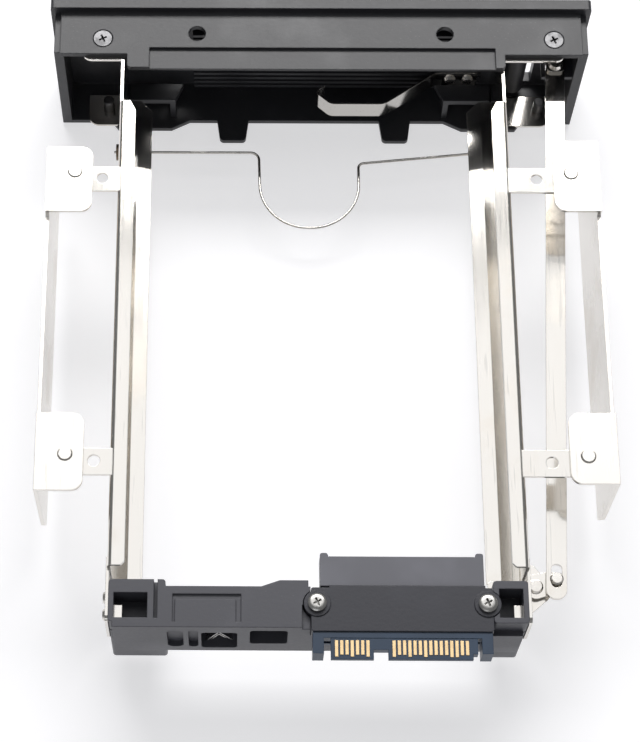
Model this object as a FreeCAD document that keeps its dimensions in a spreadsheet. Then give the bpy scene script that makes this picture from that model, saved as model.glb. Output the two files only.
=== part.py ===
import FreeCAD, Part
import math
import os
import Sketcher

# Drive cage for one 3.5 inch disk drive in a half-height 5.25 inch bay.
# Frame of the model: +X to the right seen from the front, +Y to the back, +Z up, millimetres.
# The cage lies on its top, the way it is handled on a bench, so the connector side is up.
# The origin is the middle of the footprint, on the surface that the cage lies on.

document = FreeCAD.newDocument("DriveCage")
sheet = document.addObject("Spreadsheet::Sheet", "Sizes")


# ---------------------------------------------------------------------------
# Sizes: numbers that remember the sheet expression they come from
# ---------------------------------------------------------------------------

class Size:
    """A number together with the expression that works it out from the sheet."""

    def __init__(self, text, number):
        self.text = text
        self.number = number

    def __float__(self):
        return self.number

    def __add__(self, other):
        other = as_size(other)
        return Size(f"({self.text} + {other.text})", self.number + other.number)

    def __sub__(self, other):
        other = as_size(other)
        return Size(f"({self.text} - {other.text})", self.number - other.number)

    def __mul__(self, other):
        other = as_size(other)
        return Size(f"({self.text} * {other.text})", self.number * other.number)

    def __truediv__(self, other):
        other = as_size(other)
        return Size(f"({self.text} / {other.text})", self.number / other.number)

    def __radd__(self, other):
        return as_size(other) + self

    def __rsub__(self, other):
        return as_size(other) - self

    def __rmul__(self, other):
        return as_size(other) * self

    def __neg__(self):
        return as_size(0) - self


def as_size(value):
    if isinstance(value, Size):
        return value
    return Size(f"({float(value)!r})", float(value))


def lower(first, second):
    return first if float(first) <= float(second) else second


def higher(first, second):
    return second if float(first) <= float(second) else first


sheet_rows = []


def size(alias, number, meaning):
    """Enter one driving size in the sheet and give it back as a Size."""
    sheet_rows.append(alias)
    row = len(sheet_rows)
    sheet.set(f"A{row}", alias)
    sheet.set(f"B{row}", str(number))
    sheet.set(f"C{row}", meaning)
    sheet.setAlias(f"B{row}", alias)
    return Size(f"Sizes.{alias}", float(number))


# What the cage is made for
bay_width = size("bay_width", 146.0, "width over the side plates")
drive_width = size("drive_width", 101.6, "3.5 inch drive, width")
drive_height = size("drive_height", 26.1, "3.5 inch drive, height")
drive_play = size("drive_play", 0.3, "play beside the drive, each side")
drive_lift = size("drive_lift", 1.1, "play over the drive, in all")
slot_offset = size("slot_offset", 2.3, "drive slot, right of the bezel's centre")
sheet_thick = size("sheet_thick", 0.8, "rail sheet")
rail_left = drive_width / 2 + drive_play + sheet_thick - slot_offset
rail_right = drive_width / 2 + drive_play + sheet_thick + slot_offset

# Bezel and its housing
plate_overhang = size("plate_overhang", 0.75, "bezel plate past the side plates, each side")
plate_width = bay_width + plate_overhang * 2
plate_height = size("plate_height", 42.0, "bezel plate, height")
plate_thick = size("plate_thick", 3.0, "bezel plate, thickness")
plate_corner = size("plate_corner", 1.0, "bezel plate, corner radius")
housing_wall = size("housing_wall", 1.6, "moulded wall behind the plate")
housing_drop = size("housing_drop", 2.1, "plate edge down to the housing, connector side")
housing_rise = size("housing_rise", 0.7, "plate edge up to the housing, other side")
roof_inset = size("roof_inset", 2.1, "housing roof, in from the side plates' faces")
roof_half = bay_width / 2 - roof_inset
roof_reach = size("roof_reach", 13.2, "housing roof, depth behind the plate")
side_inset = size("side_inset", 0.4, "housing sides, in from the side plates' faces")
side_wall = size("side_wall", 2.6, "housing sides, thickness")
side_half = bay_width / 2 - side_inset
side_inner = side_half - side_wall
wall_rise = size("wall_rise", 0.3, "housing sides, past the roof's underside")
side_reach = size("side_reach", 12.2, "housing sides, depth behind the plate")
visor_reach = size("visor_reach", 17.4, "middle of the roof, depth behind the plate")
visor_step_left = size("visor_step_left", 21.1, "visor, in from the left end of the roof")
visor_left = roof_half - visor_step_left
visor_step_right = size("visor_step_right", 18.3, "visor, in from the right end of the roof")
visor_right = roof_half - visor_step_right
band_reach = size("band_reach", 11.2, "front edge of the sunken band in the roof")
band_left = size("band_left", 2.6, "sunken band, in from the visor's left end")
band_right = size("band_right", 6.0, "sunken band, in from the visor's right end")
band_depth = size("band_depth", 0.9, "sunken band, depth")
opening_out_left = size("opening_out_left", 11.8, "door opening, past the left rail's outer face")
opening_left = rail_left + opening_out_left
opening_out_right = size("opening_out_right", 1.4, "door opening, past the right rail's outer face")
opening_right = rail_right + opening_out_right
sill_height = size("sill_height", 4.3, "bar of the plate under the door")
roof_hole = size("roof_hole", 4.7, "round holes in the roof, diameter")
roof_hole_half = size("roof_hole_half", 33.7, "round holes in the roof, half spacing")
roof_hole_back = size("roof_hole_back", 6.8, "round holes in the roof, distance behind the plate")
lip_reach = size("lip_reach", 14.8, "floor lips at the sides, depth behind the plate")
lip_cut = size("lip_cut", 14.0, "floor, straight edge outside each lip")
lip_lead = size("lip_lead", 2.0, "floor lips, length of the short outer ramp")
lip_width = size("lip_width", 31.2, "floor lips, width with their outer cut")
lip_inner = side_half - lip_width
lip_ramp = size("lip_ramp", 5.2, "floor lips, length of the ramp")
finger_width = size("finger_width", 9.2, "locating fingers on the floor, width at the root")
finger_tip = size("finger_tip", 7.2, "locating fingers on the floor, width at the tip")
finger_reach = size("finger_reach", 18.7, "locating fingers, depth behind the plate")
finger_right = size("finger_right", 23.9, "right locating finger, distance from the centre")
finger_left = size("finger_left", 22.3, "left locating finger, distance from the centre")
finger_round = size("finger_round", 1.2, "locating fingers, corner radius")
opening_round = size("opening_round", 0.6, "door opening, corner radius")
shelf_front = size("shelf_front", 5.9, "shelves that lead the drive in, front edge behind the plate")
shelf_reach = size("shelf_reach", 15.5, "shelves that lead the drive in, reach from the rail")
shelf_taper = size("shelf_taper", 2.3, "shelves that lead the drive in, taper")
shelf_plate = size("shelf_plate", 2.0, "shelves that lead the drive in, thickness")
shelf_drop = size("shelf_drop", 0.2, "shelves below the rails' lower flanges")
shelf_gap = size("shelf_gap", 0.3, "shelves, gap to the rails")
shelf_end_gap = size("shelf_end_gap", 0.5, "shelves, gap to the rails' lower flanges")

# Rails
rail_sink = size("rail_sink", 2.0, "plate's upper edge down to the rails")
rail_top = plate_height - rail_sink
rail_front = size("rail_front", 4.5, "front edge of the rails, behind the plate")
rail_end = size("rail_end", 159.0, "end of the rails' flanges, behind the plate")
neck_end = size("neck_end", 27.8, "where the flange on the connector side starts")
neck_before = size("neck_before", 1.6, "start of the neck's slope, before the flange")
neck_after = size("neck_after", 1.2, "end of the neck's slope, behind the flange's start")
tail_run = size("tail_run", 1.0, "start of the rear slope, behind the lower flange")
upper_flange = size("upper_flange", 4.3, "flange on the connector side, width")
bend_radius = size("bend_radius", 1.2, "outer radius of the bend along the rails")
lower_flange = size("lower_flange", 7.6, "flange on the cover side, width")
lower_front = size("lower_front", 11.6, "start of the flange on the cover side")
lower_short = size("lower_short", 2.0, "flange on the cover side, short of the rail's end")
lower_end = rail_end - lower_short
fold_drop = size("fold_drop", 0.7, "how far the folded half of the flange drops")
lead_in = size("lead_in", 3.0, "corner cut at the front of the flanges")
ear_end = size("ear_end", 14.2, "rear edge of the front ears, behind the plate")
ear_corner = size("ear_corner", 3.0, "front ears, corner radius")
ear_gap_right = size("ear_gap_right", 4.9, "right rail's ear to the housing side")
ear_right = side_inner - ear_gap_right
ear_gap_left = size("ear_gap_left", 3.5, "left rail's ear to the housing side")
ear_left = side_inner - ear_gap_left

# Screws that hold the rails to the housing
rail_screw = size("rail_screw", 3.0, "rail screws, thread diameter")
rail_screw_head = size("rail_screw_head", 5.4, "rail screws, head diameter")
rail_screw_length = size("rail_screw_length", 6.0, "rail screws, length")
screw_shift = size("screw_shift", 0.35, "right rail screw, in from the middle of its ear")
screw_right = (rail_right + ear_right) / 2 - screw_shift
screw_edge = size("screw_edge", 3.2, "left rail screw, in from the end of its ear")
screw_left = ear_left - screw_edge
screw_back = size("screw_back", 8.4, "rail screws behind the plate")

# Side plates
plate_sheet = size("plate_sheet", 1.0, "side plate sheet")
flange_width = size("flange_width", 12.2, "side plate flanges, width")
flange_corner = size("flange_corner", 3.0, "side plate flanges, corner radius")
side_low = size("side_low", 9.0, "lower edge of the side plates")
side_dip = size("side_dip", 2.5, "side plate edge below the flanges")
rivet_inset = size("rivet_inset", 7.6, "side plate rivets from the outer face")
rivet_hole = size("rivet_hole", 3.2, "side plate rivets, hole diameter")
short_outer = size("short_outer", 7.4, "short flange, outer edge from the rivet")
short_inner = size("short_inner", 11.7, "short flange, inner edge from the rivet")
long_outer = size("long_outer", 9.7, "long flange, outer edge from the rivet")
long_inner = size("long_inner", 11.1, "long flange, inner edge from the rivet")
tab_width = size("tab_width", 7.2, "rail tabs under the side plates, width")
tab_hole = size("tab_hole", 3.1, "round hole in each rail tab, diameter")
tab_end = size("tab_end", 5.2, "rail tab, end past the rivet")
tab_shift = size("tab_shift", 1.6, "rail tabs, middle behind the rivets")
tab_hole_shift = size("tab_hole_shift", 1.4, "holes in the rail tabs, behind the rivets")
tab_hole_right = size("tab_hole_right", 4.0, "right tab holes, outside the rail")
tab_hole_left = size("tab_hole_left", 6.8, "left tab holes, outside the rail")
bay_pitch = size("bay_pitch", 79.25, "bay holes, spacing along the cage")
bay_drop = size("bay_drop", 11.8, "bay holes, spacing in height")
bay_hole = size("bay_hole", 3.0, "bay holes, M3")
bay_front = size("bay_front", 52.3, "front bay holes behind the front face of the plate")
rivet_ahead = size("rivet_ahead", 0.8, "front rivets behind the front bay holes")
rivet_spread = size("rivet_spread", 0.85, "rivets further apart than the bay holes")
rivet_front = bay_front - plate_thick + rivet_ahead
rivet_rear = rivet_front + bay_pitch + rivet_spread
bay_high = size("bay_high", 10.0, "upper bay holes below the connector side")

# Crossbar at the back
bar_sink = size("bar_sink", 2.0, "upper face of the crossbar below the rails")
bar_top = rail_top - bar_sink
bar_gap = size("bar_gap", 4.7, "rails' ends to the crossbar's front")
bar_front = rail_end + bar_gap
bar_depth = size("bar_depth", 10.5, "crossbar, depth")
bar_back = bar_front + bar_depth
bar_height = size("bar_height", 19.6, "crossbar's beam, height")
bar_low = bar_top - bar_height
block_ahead = size("block_ahead", 1.7, "end blocks, in front of the beam")
block_front = bar_front - block_ahead
block_short = size("block_short", 1.4, "end blocks, short of the beam's back face")
block_back = bar_back - block_short
block_height = size("block_height", 29.2, "end blocks, height")
block_low = bar_top - block_height
strap_short = size("strap_short", 0.2, "rear straps, short of the end blocks' back face")
strap_drop = size("strap_drop", 0.6, "rear straps, below the crossbar's upper face")
strap_height = size("strap_height", 14.4, "rear straps, height")
strap_start = size("strap_start", 3.0, "rear straps, start before the rails' ends")
strap_rear = block_back - strap_short
strap_high = bar_top - strap_drop
strap_low = strap_high - strap_height
block_right = size("block_right", 14.0, "right end block, width")
block_left = size("block_left", 8.6, "left end block, width")
bar_play = size("bar_play", 0.65, "crossbar end past the side of the drive")
window_depth = size("window_depth", 8.0, "windows in the end blocks, depth")
window_wall = size("window_wall", 1.3, "wall round the windows")
window_right = size("window_right", 8.3, "right window, width")
window_left = size("window_left", 5.9, "left window, width")
window_right_front = size("window_right_front", 3.4, "right window, in from the block's front face")
window_right_back = size("window_right_back", 1.0, "right window, in from the block's back face")
window_left_front = size("window_left_front", 2.0, "left window, in from the block's front face")
window_left_back = size("window_left_back", 1.4, "left window, in from the block's back face")
tongue_width = size("tongue_width", 4.0, "rails' tongues, width")
tongue_bend = size("tongue_bend", 3.3, "rails' tongues, reach into the windows")
tongue_drop = size("tongue_drop", 3.4, "rails' tongues below the crossbar's upper face")
tongue_play = size("tongue_play", 0.2, "play round the rails' tongues")
wedge_reach = size("wedge_reach", 1.6, "wedge rib, reach in front of the crossbar")
wedge_height = size("wedge_height", 6.0, "wedge rib, height")
wedge_flat = size("wedge_flat", 7.5, "wedge rib, length of its straight edge")
wedge_run = size("wedge_run", 6.0, "wedge rib, length of its ramp")
groove_line = size("groove_line", 0.6, "fine groove in the crossbar's upper face, width and depth")
groove_wide = size("groove_wide", 1.3, "wide grooves in the crossbar's upper face, width")
end_step = size("end_step", 2.1, "step at the beam's left end, width")
end_step_back = size("end_step_back", 5.8, "step at the beam's left end, in from the back face")
end_step_depth = size("end_step_depth", 1.5, "step at the beam's left end, depth")
rib_slot = size("rib_slot", 0.9, "slot between the right block's ribs, width")
rib_slot_start = size("rib_slot_start", 11.15, "slot between the ribs, start from the right end")
rib_slot_back = size("rib_slot_back", 0.9, "slot between the ribs, short of the block's back face")
rib_slot_depth = size("rib_slot_depth", 2.5, "slot between the ribs, depth")
flute_wide = size("flute_wide", 4.0, "wide flute in the back face, width")
flute_wide_start = size("flute_wide_start", 14.35, "wide flute, start from the right end")
flute_fine = size("flute_fine", 2.4, "fine flute in the back face, width")
flute_fine_start = size("flute_fine_start", 19.6, "fine flute, start from the right end")
flute_low = size("flute_low", 3.4, "flutes above the crossbar's lower face")
flute_height = size("flute_height", 13.4, "flutes, height")
flute_depth = size("flute_depth", 1.4, "flutes, depth")
groove_start = size("groove_start", 15.75, "groove, start from the crossbar's right end")
groove_length = size("groove_length", 16.8, "groove, length along the crossbar")
groove_front = size("groove_front", 2.0, "groove behind the crossbar's front face")
tall_slot = size("tall_slot", 8.9, "tall slot in the back face, width")
tall_slot_start = size("tall_slot_start", 22.75, "tall slot, start from the crossbar's right end")
tall_slot_height = size("tall_slot_height", 12.4, "tall slot, height")
tall_slot_low = size("tall_slot_low", 2.6, "tall slot above the crossbar's lower face")
high_slot = size("high_slot", 9.3, "high slot in the back face, width")
high_slot_start = size("high_slot_start", 34.75, "high slot, start from the crossbar's right end")
high_slot_height = size("high_slot_height", 10.6, "high slot, height")
high_slot_low = size("high_slot_low", 6.2, "high slot above the crossbar's lower face")
slot_depth = size("slot_depth", 4.0, "slots in the back face, depth")
latch_slot = size("latch_slot", 5.6, "slot in the right end block, width")
latch_slot_height = size("latch_slot_height", 4.9, "slot in the right end block, height")
latch_slot_start = size("latch_slot_start", 0.75, "slot in the block, start from the right end")
latch_slot_low = size("latch_slot_low", 5.6, "slot in the block above the crossbar's lower face")
peep_width = size("peep_width", 1.3, "narrow hole beside the slot in the block, width")
peep_height = size("peep_height", 3.4, "narrow hole beside the slot in the block, height")
peep_start = size("peep_start", 6.95, "narrow hole, start from the right end")
peep_low = size("peep_low", 6.4, "narrow hole above the crossbar's lower face")
hatch_width = size("hatch_width", 2.3, "upright hole in the right end block, width")
hatch_height = size("hatch_height", 7.8, "upright hole, height")
hatch_start = size("hatch_start", 9.9, "upright hole, start from the right end")
hatch_sink = size("hatch_sink", 3.0, "upright hole's lower edge below the beam's lower face")
ledge_low = size("ledge_low", 12.0, "ledge round the blocks' backs above the beam's lower face")
ledge_height = size("ledge_height", 0.7, "ledge round the blocks' backs, height")
ledge_depth = size("ledge_depth", 0.5, "ledge round the blocks' backs, depth")
block_wall = size("block_wall", 1.4, "walls round the hollow of the end blocks")
block_hollow = size("block_hollow", 9.0, "hollow under the end blocks, depth")
block_round = size("block_round", 0.8, "end blocks, corner radius")
strap_rivet = size("strap_rivet", 1.9, "strap rivets, head radius")
strap_rivet_height = size("strap_rivet_height", 1.0, "strap rivets, head height")
strap_rivet_back = size("strap_rivet_back", 4.2, "rear strap rivets, in from the strap's end")
strap_rivet_pitch = size("strap_rivet_pitch", 4.4, "strap rivets, spacing")
strap_rivet_low = size("strap_rivet_low", 6.0, "strap rivets above the strap's lower edge")
bar_left = drive_width / 2 + bar_play - slot_offset

# Connector adapter
cover_gap = size("cover_gap", 0.1, "gap between the adapter cover and the crossbar")
cover_width = size("cover_width", 44.55, "adapter cover, width")
adapter_left = bar_left - block_left - cover_gap
adapter_right = cover_width - adapter_left
adapter_gap = size("adapter_gap", 0.2, "adapter cover behind the crossbar's front face")
adapter_front = bar_front + adapter_gap
adapter_past = size("adapter_past", 0.8, "adapter cover past the crossbar's back face")
adapter_back = bar_back + adapter_past
board_thick = size("board_thick", 1.6, "adapter board")
board_drop = size("board_drop", 6.1, "adapter board, lower face below the crossbar's upper face")
board_low = bar_top - board_drop
boss_radius = size("boss_radius", 3.3, "screw bosses of the cover, radius")
boss_edge_right = size("boss_edge_right", 1.5, "right screw boss, in from the cover's edge")
boss_right = adapter_right - boss_edge_right
boss_edge_left = size("boss_edge_left", 1.35, "left screw boss, in from the cover's edge")
boss_left = adapter_left - boss_edge_left
boss_inset = size("boss_inset", 4.1, "screw bosses behind the cover's front face")
boss_back = adapter_front + boss_inset
boss_rise = size("boss_rise", 0.3, "screw bosses above the cover")
boss_play = size("boss_play", 0.2, "play round the screw bosses")
adapter_screw = size("adapter_screw", 1.3, "adapter screws, shank radius")
adapter_screw_hole = size("adapter_screw_hole", 1.5, "adapter screws, radius of their clearance holes")
adapter_screw_head = size("adapter_screw_head", 2.3, "adapter screws, head radius")
adapter_screw_rise = size("adapter_screw_rise", 1.3, "adapter screws, head height")
adapter_screw_length = size("adapter_screw_length", 12.0, "adapter screws, length")
brow_left = size("brow_left", 1.8, "raised brow of the cover, in from its left edge")
brow_right = size("brow_right", 4.5, "raised brow of the cover, in from its right edge")
brow_reach = size("brow_reach", 0.6, "raised brow, reach in front of the cover")
brow_lift = size("brow_lift", 2.5, "raised brow above the board")
board_inset = size("board_inset", 0.6, "adapter board, in from the cover's edges")
contact_offset = size("contact_offset", 38.45, "first signal contact from the cover's left edge")
first_contact = adapter_left - contact_offset
contact_pitch = size("contact_pitch", 1.27, "contact pitch")
contact_gap = size("contact_gap", 11, "pitches from the first signal to the first power contact")
contact_width = size("contact_width", 0.8, "contact width")
contact_rise = size("contact_rise", 0.15, "contacts above their tongues")
contact_start = size("contact_start", 0.6, "contacts, start from the tongues' root")
contact_long = size("contact_long", 0.6, "long contacts, short of the tongues' end")
contact_short = size("contact_short", 1.1, "short contacts, short of the tongues' end")
signal_count = 7
power_count = 15
long_contacts = (0, 3, 6, 11, 12)
tongue_margin = size("tongue_margin", 1.4, "plug tongue past its outer contacts")
tongue_root = size("tongue_root", 1.6, "plug tongues, root behind the adapter")
tongue_front = adapter_back + tongue_root
plug_length = size("plug_length", 6.9, "plug, length behind the adapter")
plug_reach = adapter_back + plug_length
tongue_sink = size("tongue_sink", 0.5, "plug tongues below the crossbar's upper face")
tongue_top = bar_top - tongue_sink
tongue_thick = size("tongue_thick", 1.25, "plug tongues, thickness")
plug_inset = size("plug_inset", 0.4, "plug, in from the cover's left edge")
plug_width = size("plug_width", 43.8, "plug, width")
plug_drop = size("plug_drop", 0.6, "plug below the board")
plug_ear = size("plug_ear", 2.7, "ears beside the tongues, width")
ear_short = size("ear_short", 1.4, "plug's ears, short of its tongues")
plug_rise = size("plug_rise", 0.1, "ears above the tongues")
key_width = size("key_width", 1.2, "keys beside the tongues, width")
key_depth = size("key_depth", 2.6, "keys beside the tongues, height")
key_short = size("key_short", 1.4, "key, short of the tongues' end")
bridge_short = size("bridge_short", 2.4, "bridge between the tongues, short of their end")
channel_low = size("channel_low", 4.6, "channel under the tongues, lower face")
channel_high = size("channel_high", 2.7, "channel under the tongues, upper face")
plug_left = adapter_left - plug_inset
plug_right = plug_left - plug_width
socket_depth = size("socket_depth", 8.3, "drive socket, in front of the adapter")
socket_front = adapter_front - socket_depth
socket_drop = size("socket_drop", 1.0, "drive socket below the adapter board")
socket_low = board_low - socket_drop
socket_sink = size("socket_sink", 0.8, "drive socket below the crossbar's upper face")
socket_inset = size("socket_inset", 4.15, "drive socket, in from the cover's left edge")
socket_width = size("socket_width", 35.9, "drive socket, width")
socket_gap = size("socket_gap", 0.7, "drive socket, in front of the cover")
socket_left = adapter_left - socket_inset
socket_right = socket_left - socket_width
mouth_depth = size("mouth_depth", 5.0, "mouths of the drive socket, depth")
mouth_half = size("mouth_half", 1.3, "mouths of the drive socket, half height")
post_width = size("post_width", 1.8, "guide posts, width of their tips")
socket_top = bar_top - socket_sink
post_length = size("post_length", 0.9, "guide posts past the socket's front")
post_reach = socket_front - post_length

# Door
door_gap = size("door_gap", 0.3, "gap round the door")
door_thick = size("door_thick", 4.2, "door panel, thickness")
hinge_inset = size("hinge_inset", 5.4, "door hinge, in from the left edge of the opening")
hinge_left = opening_left - hinge_inset
knuckle_radius = size("knuckle_radius", 3.0, "door knuckle, radius")
pin_radius = size("pin_radius", 1.2, "door hinge pin, radius")
pin_fit = size("pin_fit", 0.08, "running fit of pins, radial")
pin_short = size("pin_short", 0.6, "hinge pin, short of the housing's faces")
pin_skin = size("pin_skin", 0.4, "housing's skin over the ends of the hinge pin's hole")
rib_thick = size("rib_thick", 1.1, "door ribs, thickness")
rib_depth = size("rib_depth", 2.8, "door ribs, depth")
rib_first = size("rib_first", 7.0, "lowest door rib, height")
rib_count = size("rib_count", 13, "door ribs, number")
rib_margin = size("rib_margin", 3.8, "highest door rib, below the housing's roof")
rib_space = plate_height - housing_drop - housing_wall - rib_margin - rib_thick - rib_first
rib_pitch = rib_space / (rib_count - 1)
bar_between = size("bar_between", 2.0, "upright bars between the louvres, width")
finger_arm = size("finger_arm", 5.9, "cam finger of the door, reach from the hinge")

# Latch in the door
latch_travel = size("latch_travel", 2.5, "latch travel")
latch_mid = plate_height / 2
latch_height = size("latch_height", 13.4, "latch thumb piece, height")
latch_width = size("latch_width", 11.0, "latch thumb piece, width")
latch_edge = size("latch_edge", 3.4, "latch thumb piece, in from the edge of the opening")
latch_right = opening_right - latch_edge
latch_left = latch_right - latch_width
rib_gap_left = size("rib_gap_left", 10.0, "door ribs, first end from the hinge")
rib_gap_right = size("rib_gap_right", 6.2, "door ribs, other end from the latch")
rib_left = hinge_left - rib_gap_left
rib_right = latch_left - rib_gap_right
latch_catch = size("latch_catch", 1.8, "latch nose behind the edge of the opening")
latch_nose = opening_right + latch_catch
nose_height = size("nose_height", 5.4, "latch nose, height")
latch_sheet = size("latch_sheet", 1.0, "latch back plate, thickness")
latch_play = size("latch_play", 0.3, "play round the latch")
coil_turns = size("coil_turns", 4, "latch spring, turns")
coil_radius = size("coil_radius", 0.8, "latch spring, middle radius")
coil_wire = size("coil_wire", 0.4, "latch spring, wire")

# Link and lever
link_width = size("link_width", 5.2, "link bar, width")
link_thick = size("link_thick", 1.0, "link bar, thickness")
link_round = size("link_round", 2.4, "link, corner radius of its ends")
link_nose = size("link_nose", 3.6, "link, end in front of its front rivet")
slot_run = size("slot_run", 2.9, "link's rear slot, room in front of the rivet")
slot_rest = size("slot_rest", 1.3, "link's rear slot, room behind the rivet")
slot_play = size("slot_play", 0.45, "link's rear slot, play beside the rivet")
front_rivet = size("front_rivet", 1.28, "front rivet of the link, radius")
front_rivet_head = size("front_rivet_head", 2.1, "front rivet of the link, head radius")
lever_sink = size("lever_sink", 15.0, "eject lever, lower face below the rails' upper face")
lever_low = rail_top - lever_sink
link_rise = size("link_rise", 1.5, "link above the lever's lower face")
link_low = lever_low + link_rise
finger_rise = size("finger_rise", 0.5, "cam finger above the link's lower face")
finger_height = size("finger_height", 3.2, "cam finger, height")
finger_low = link_low + finger_rise
finger_high = finger_low + finger_height
lever_out = size("lever_out", 3.0, "lever pivot, outside the left rail")
lever_left = rail_left + lever_out
lever_behind = size("lever_behind", 0.6, "lever pivot behind the rails' ends")
lever_back = rail_end + lever_behind
lever_outer = size("lever_outer", 5.2, "link's rivet, outside the lever's pivot")
lever_ahead = size("lever_ahead", 1.7, "link's rivet, in front of the lever's pivot")
link_inset = size("link_inset", 4.9, "front rivet of the link, in from the housing side")
link_front_left = side_inner - link_inset
link_front_back = size("link_front_back", 9.1, "front rivet of the link, behind the plate")
link_rear_left = lever_left + lever_outer
link_rear_back = lever_back - lever_ahead
link_tail = size("link_tail", 5.3, "link, end behind its rear rivet")
link_end = link_rear_back + link_tail
cam_front = size("cam_front", 4.7, "front edge of the cam plate, behind the plate")
cam_bar = size("cam_bar", 2.6, "cam plate, width of its cross piece")
cam_short = size("cam_short", 2.0, "cam plate, end past the hinge's centre")
cam_inner = hinge_left - cam_short
ledge_inset = size("ledge_inset", 5.4, "link's ledge, past the hinge")
ledge_front = size("ledge_front", 5.0, "link's ledge, front edge behind the plate")
ledge_short = size("ledge_short", 0.4, "link's ledge, short of the housing sides")
ledge_gap = size("ledge_gap", 0.3, "link above its ledge")
ledge_thick = size("ledge_thick", 1.3, "link's ledge, thickness")
lever_thick = size("lever_thick", 1.2, "eject lever, thickness")
lever_gap = size("lever_gap", 0.2, "eject lever above its bracket")
lever_window_front = size("lever_window_front", 7.4, "window for the lever, in front of its pivot")
lever_window_back = size("lever_window_back", 3.4, "window for the lever, behind its pivot")
bracket_reach = size("bracket_reach", 6.6, "lever's bracket, reach from the rail")
bracket_front = size("bracket_front", 7.0, "lever's bracket, front corner before the pivot")
bracket_back = size("bracket_back", 8.4, "lever's bracket, rear corner behind the pivot")
bracket_step = size("bracket_step", 3.0, "lever's bracket, width of its front shoulder")
bracket_tip = size("bracket_tip", 2.6, "lever's bracket, end of its tip behind the pivot")
lever_reach = size("lever_reach", 9.0, "eject lever, tip inside the rail's outer face")
lever_tip = rail_left - lever_reach
lever_hub = size("lever_hub", 2.8, "eject lever, hub radius")
lever_arm = size("lever_arm", 3.0, "eject lever, width of the inner arm")
pivot_radius = size("pivot_radius", 1.2, "lever pivot, radius")
pivot_head = size("pivot_head", 1.9, "lever pivot, head radius")
rivet_radius = size("rivet_radius", 0.9, "rear rivet of the link, radius")
rivet_head = size("rivet_head", 1.7, "rear rivet of the link, head radius")
head_gap = size("head_gap", 0.15, "gap under the heads of the turning rivets")
head_rise = size("head_rise", 0.7, "height of the heads of the turning rivets")

# Wire bail
wire_radius = size("wire_radius", 0.4, "wire, radius")
wire_drop = size("wire_drop", 2.2, "wire below the rails' flanges")
wire_back = size("wire_back", 26.5, "wire ends behind the plate")
loop_reach = size("loop_reach", 50.1, "loop of the wire, behind the plate")
loop_width = size("loop_width", 27.3, "loop of the wire, width")
loop_round = size("loop_round", 0.15, "loop of the wire, radius under half its width")
wire_past = size("wire_past", 0.6, "wire ends past the bushings")
wire_slope = size("wire_slope", 3.4, "wire, drop of its slope beside the loop")
wire_bend = size("wire_bend", 5.6, "wire, bend in from the left rail's outer face")
bushing_radius = size("bushing_radius", 2.3, "wire bushings, flange radius")
bushing_length = size("bushing_length", 2.4, "wire bushings, length outside the rail")

# Leaf spring in the door
leaf_thick = size("leaf_thick", 0.4, "leaf spring, thickness")
leaf_drop = size("leaf_drop", 2.0, "leaf spring, lower edge below the rails' lower flanges")
leaf_low = rail_top - sheet_thick - drive_height - drive_lift - sheet_thick - leaf_drop
leaf_height = size("leaf_height", 6.6, "leaf spring, height")
leaf_start = size("leaf_start", 11.0, "leaf spring, start from the hinge")
leaf_foot = size("leaf_foot", 11.5, "leaf spring, length of its foot")
leaf_run = size("leaf_run", 15.0, "leaf spring, length of its ramp")
leaf_crown = size("leaf_crown", 15.0, "leaf spring, length of its crown")
leaf_rise = size("leaf_rise", 10.2, "leaf spring, rise of its crown")
leaf_hook = size("leaf_hook", 4.3, "leaf spring, reach of its hooked end")
leaf_hook_drop = size("leaf_hook_drop", 3.8, "leaf spring, drop of its hooked end")
leaf_curl = size("leaf_curl", 2.6, "leaf spring, curl of its tip")
leaf_curl_drop = size("leaf_curl_drop", 2.0, "leaf spring, drop of its tip")
leaf_screw_first = size("leaf_screw_first", 2.5, "first leaf screw from the spring's start")
leaf_screw_pitch = size("leaf_screw_pitch", 5.0, "leaf screws, spacing")
leaf_screw_head = size("leaf_screw_head", 1.7, "leaf screws, head radius")
leaf_screw_rise = size("leaf_screw_rise", 0.8, "leaf screws, head height")

# Shared by many pieces
overlap = size("overlap", 0.5, "how far a block of a moulded piece runs into its neighbour")
sheet_bite = size("sheet_bite", 0.1, "how far a flange starts inside its web")
sheet_round = size("sheet_round", 1.5, "rounded corners of the rails' sheet")
pin_seat = size("pin_seat", 0.02, "radial clearance of pins fixed in their holes")
screw_play = size("screw_play", 0.1, "radial clearance of the rail screws")

document.recompute()

# Places worked out from the sizes; distances behind the plate start at its back face
back = (plate_thick - plug_reach) / 2
front = back - plate_thick
roof = plate_height - housing_drop
roof_under = roof - housing_wall
floor = housing_rise
floor_top = floor + housing_wall
rail_under = rail_top - sheet_thick
shelf_top = rail_under - drive_height - drive_lift
shelf_under = shelf_top - sheet_thick
wire_height = shelf_under - wire_drop
hinge_back = back + door_thick - plate_thick
door_back = front + door_thick
RIGHT = 1
LEFT = -1


def web_inner(side):
    return slot_offset + side * (drive_width / 2 + drive_play)


def web_outer(side):
    return web_inner(side) + side * sheet_thick


def bar_end(side):
    return slot_offset + side * (drive_width / 2 + bar_play)


# ---------------------------------------------------------------------------
# Ways of making solids
# ---------------------------------------------------------------------------

def new_body(label):
    body = document.addObject("PartDesign::Body", label)
    body.Label = label
    body.AllowCompound = True
    return body


def bind(item, path, value):
    item.setExpression(path, as_size(value).text)


def sketch_on(body, role, offset):
    """A sketch on one of the body's own origin planes, moved along the plane's normal."""
    sketch = body.newObject("Sketcher::SketchObject", body.Label + "_sketch")
    plane = [item for item in body.Origin.OriginFeatures if item.Role == role][0]
    sketch.AttachmentSupport = [(plane, "")]
    sketch.MapMode = "FlatFace"
    sketch.AttachmentOffset = FreeCAD.Placement(
        FreeCAD.Vector(0, 0, float(offset)), FreeCAD.Rotation())
    bind(sketch, "AttachmentOffset.Base.z", offset)
    return sketch


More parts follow.
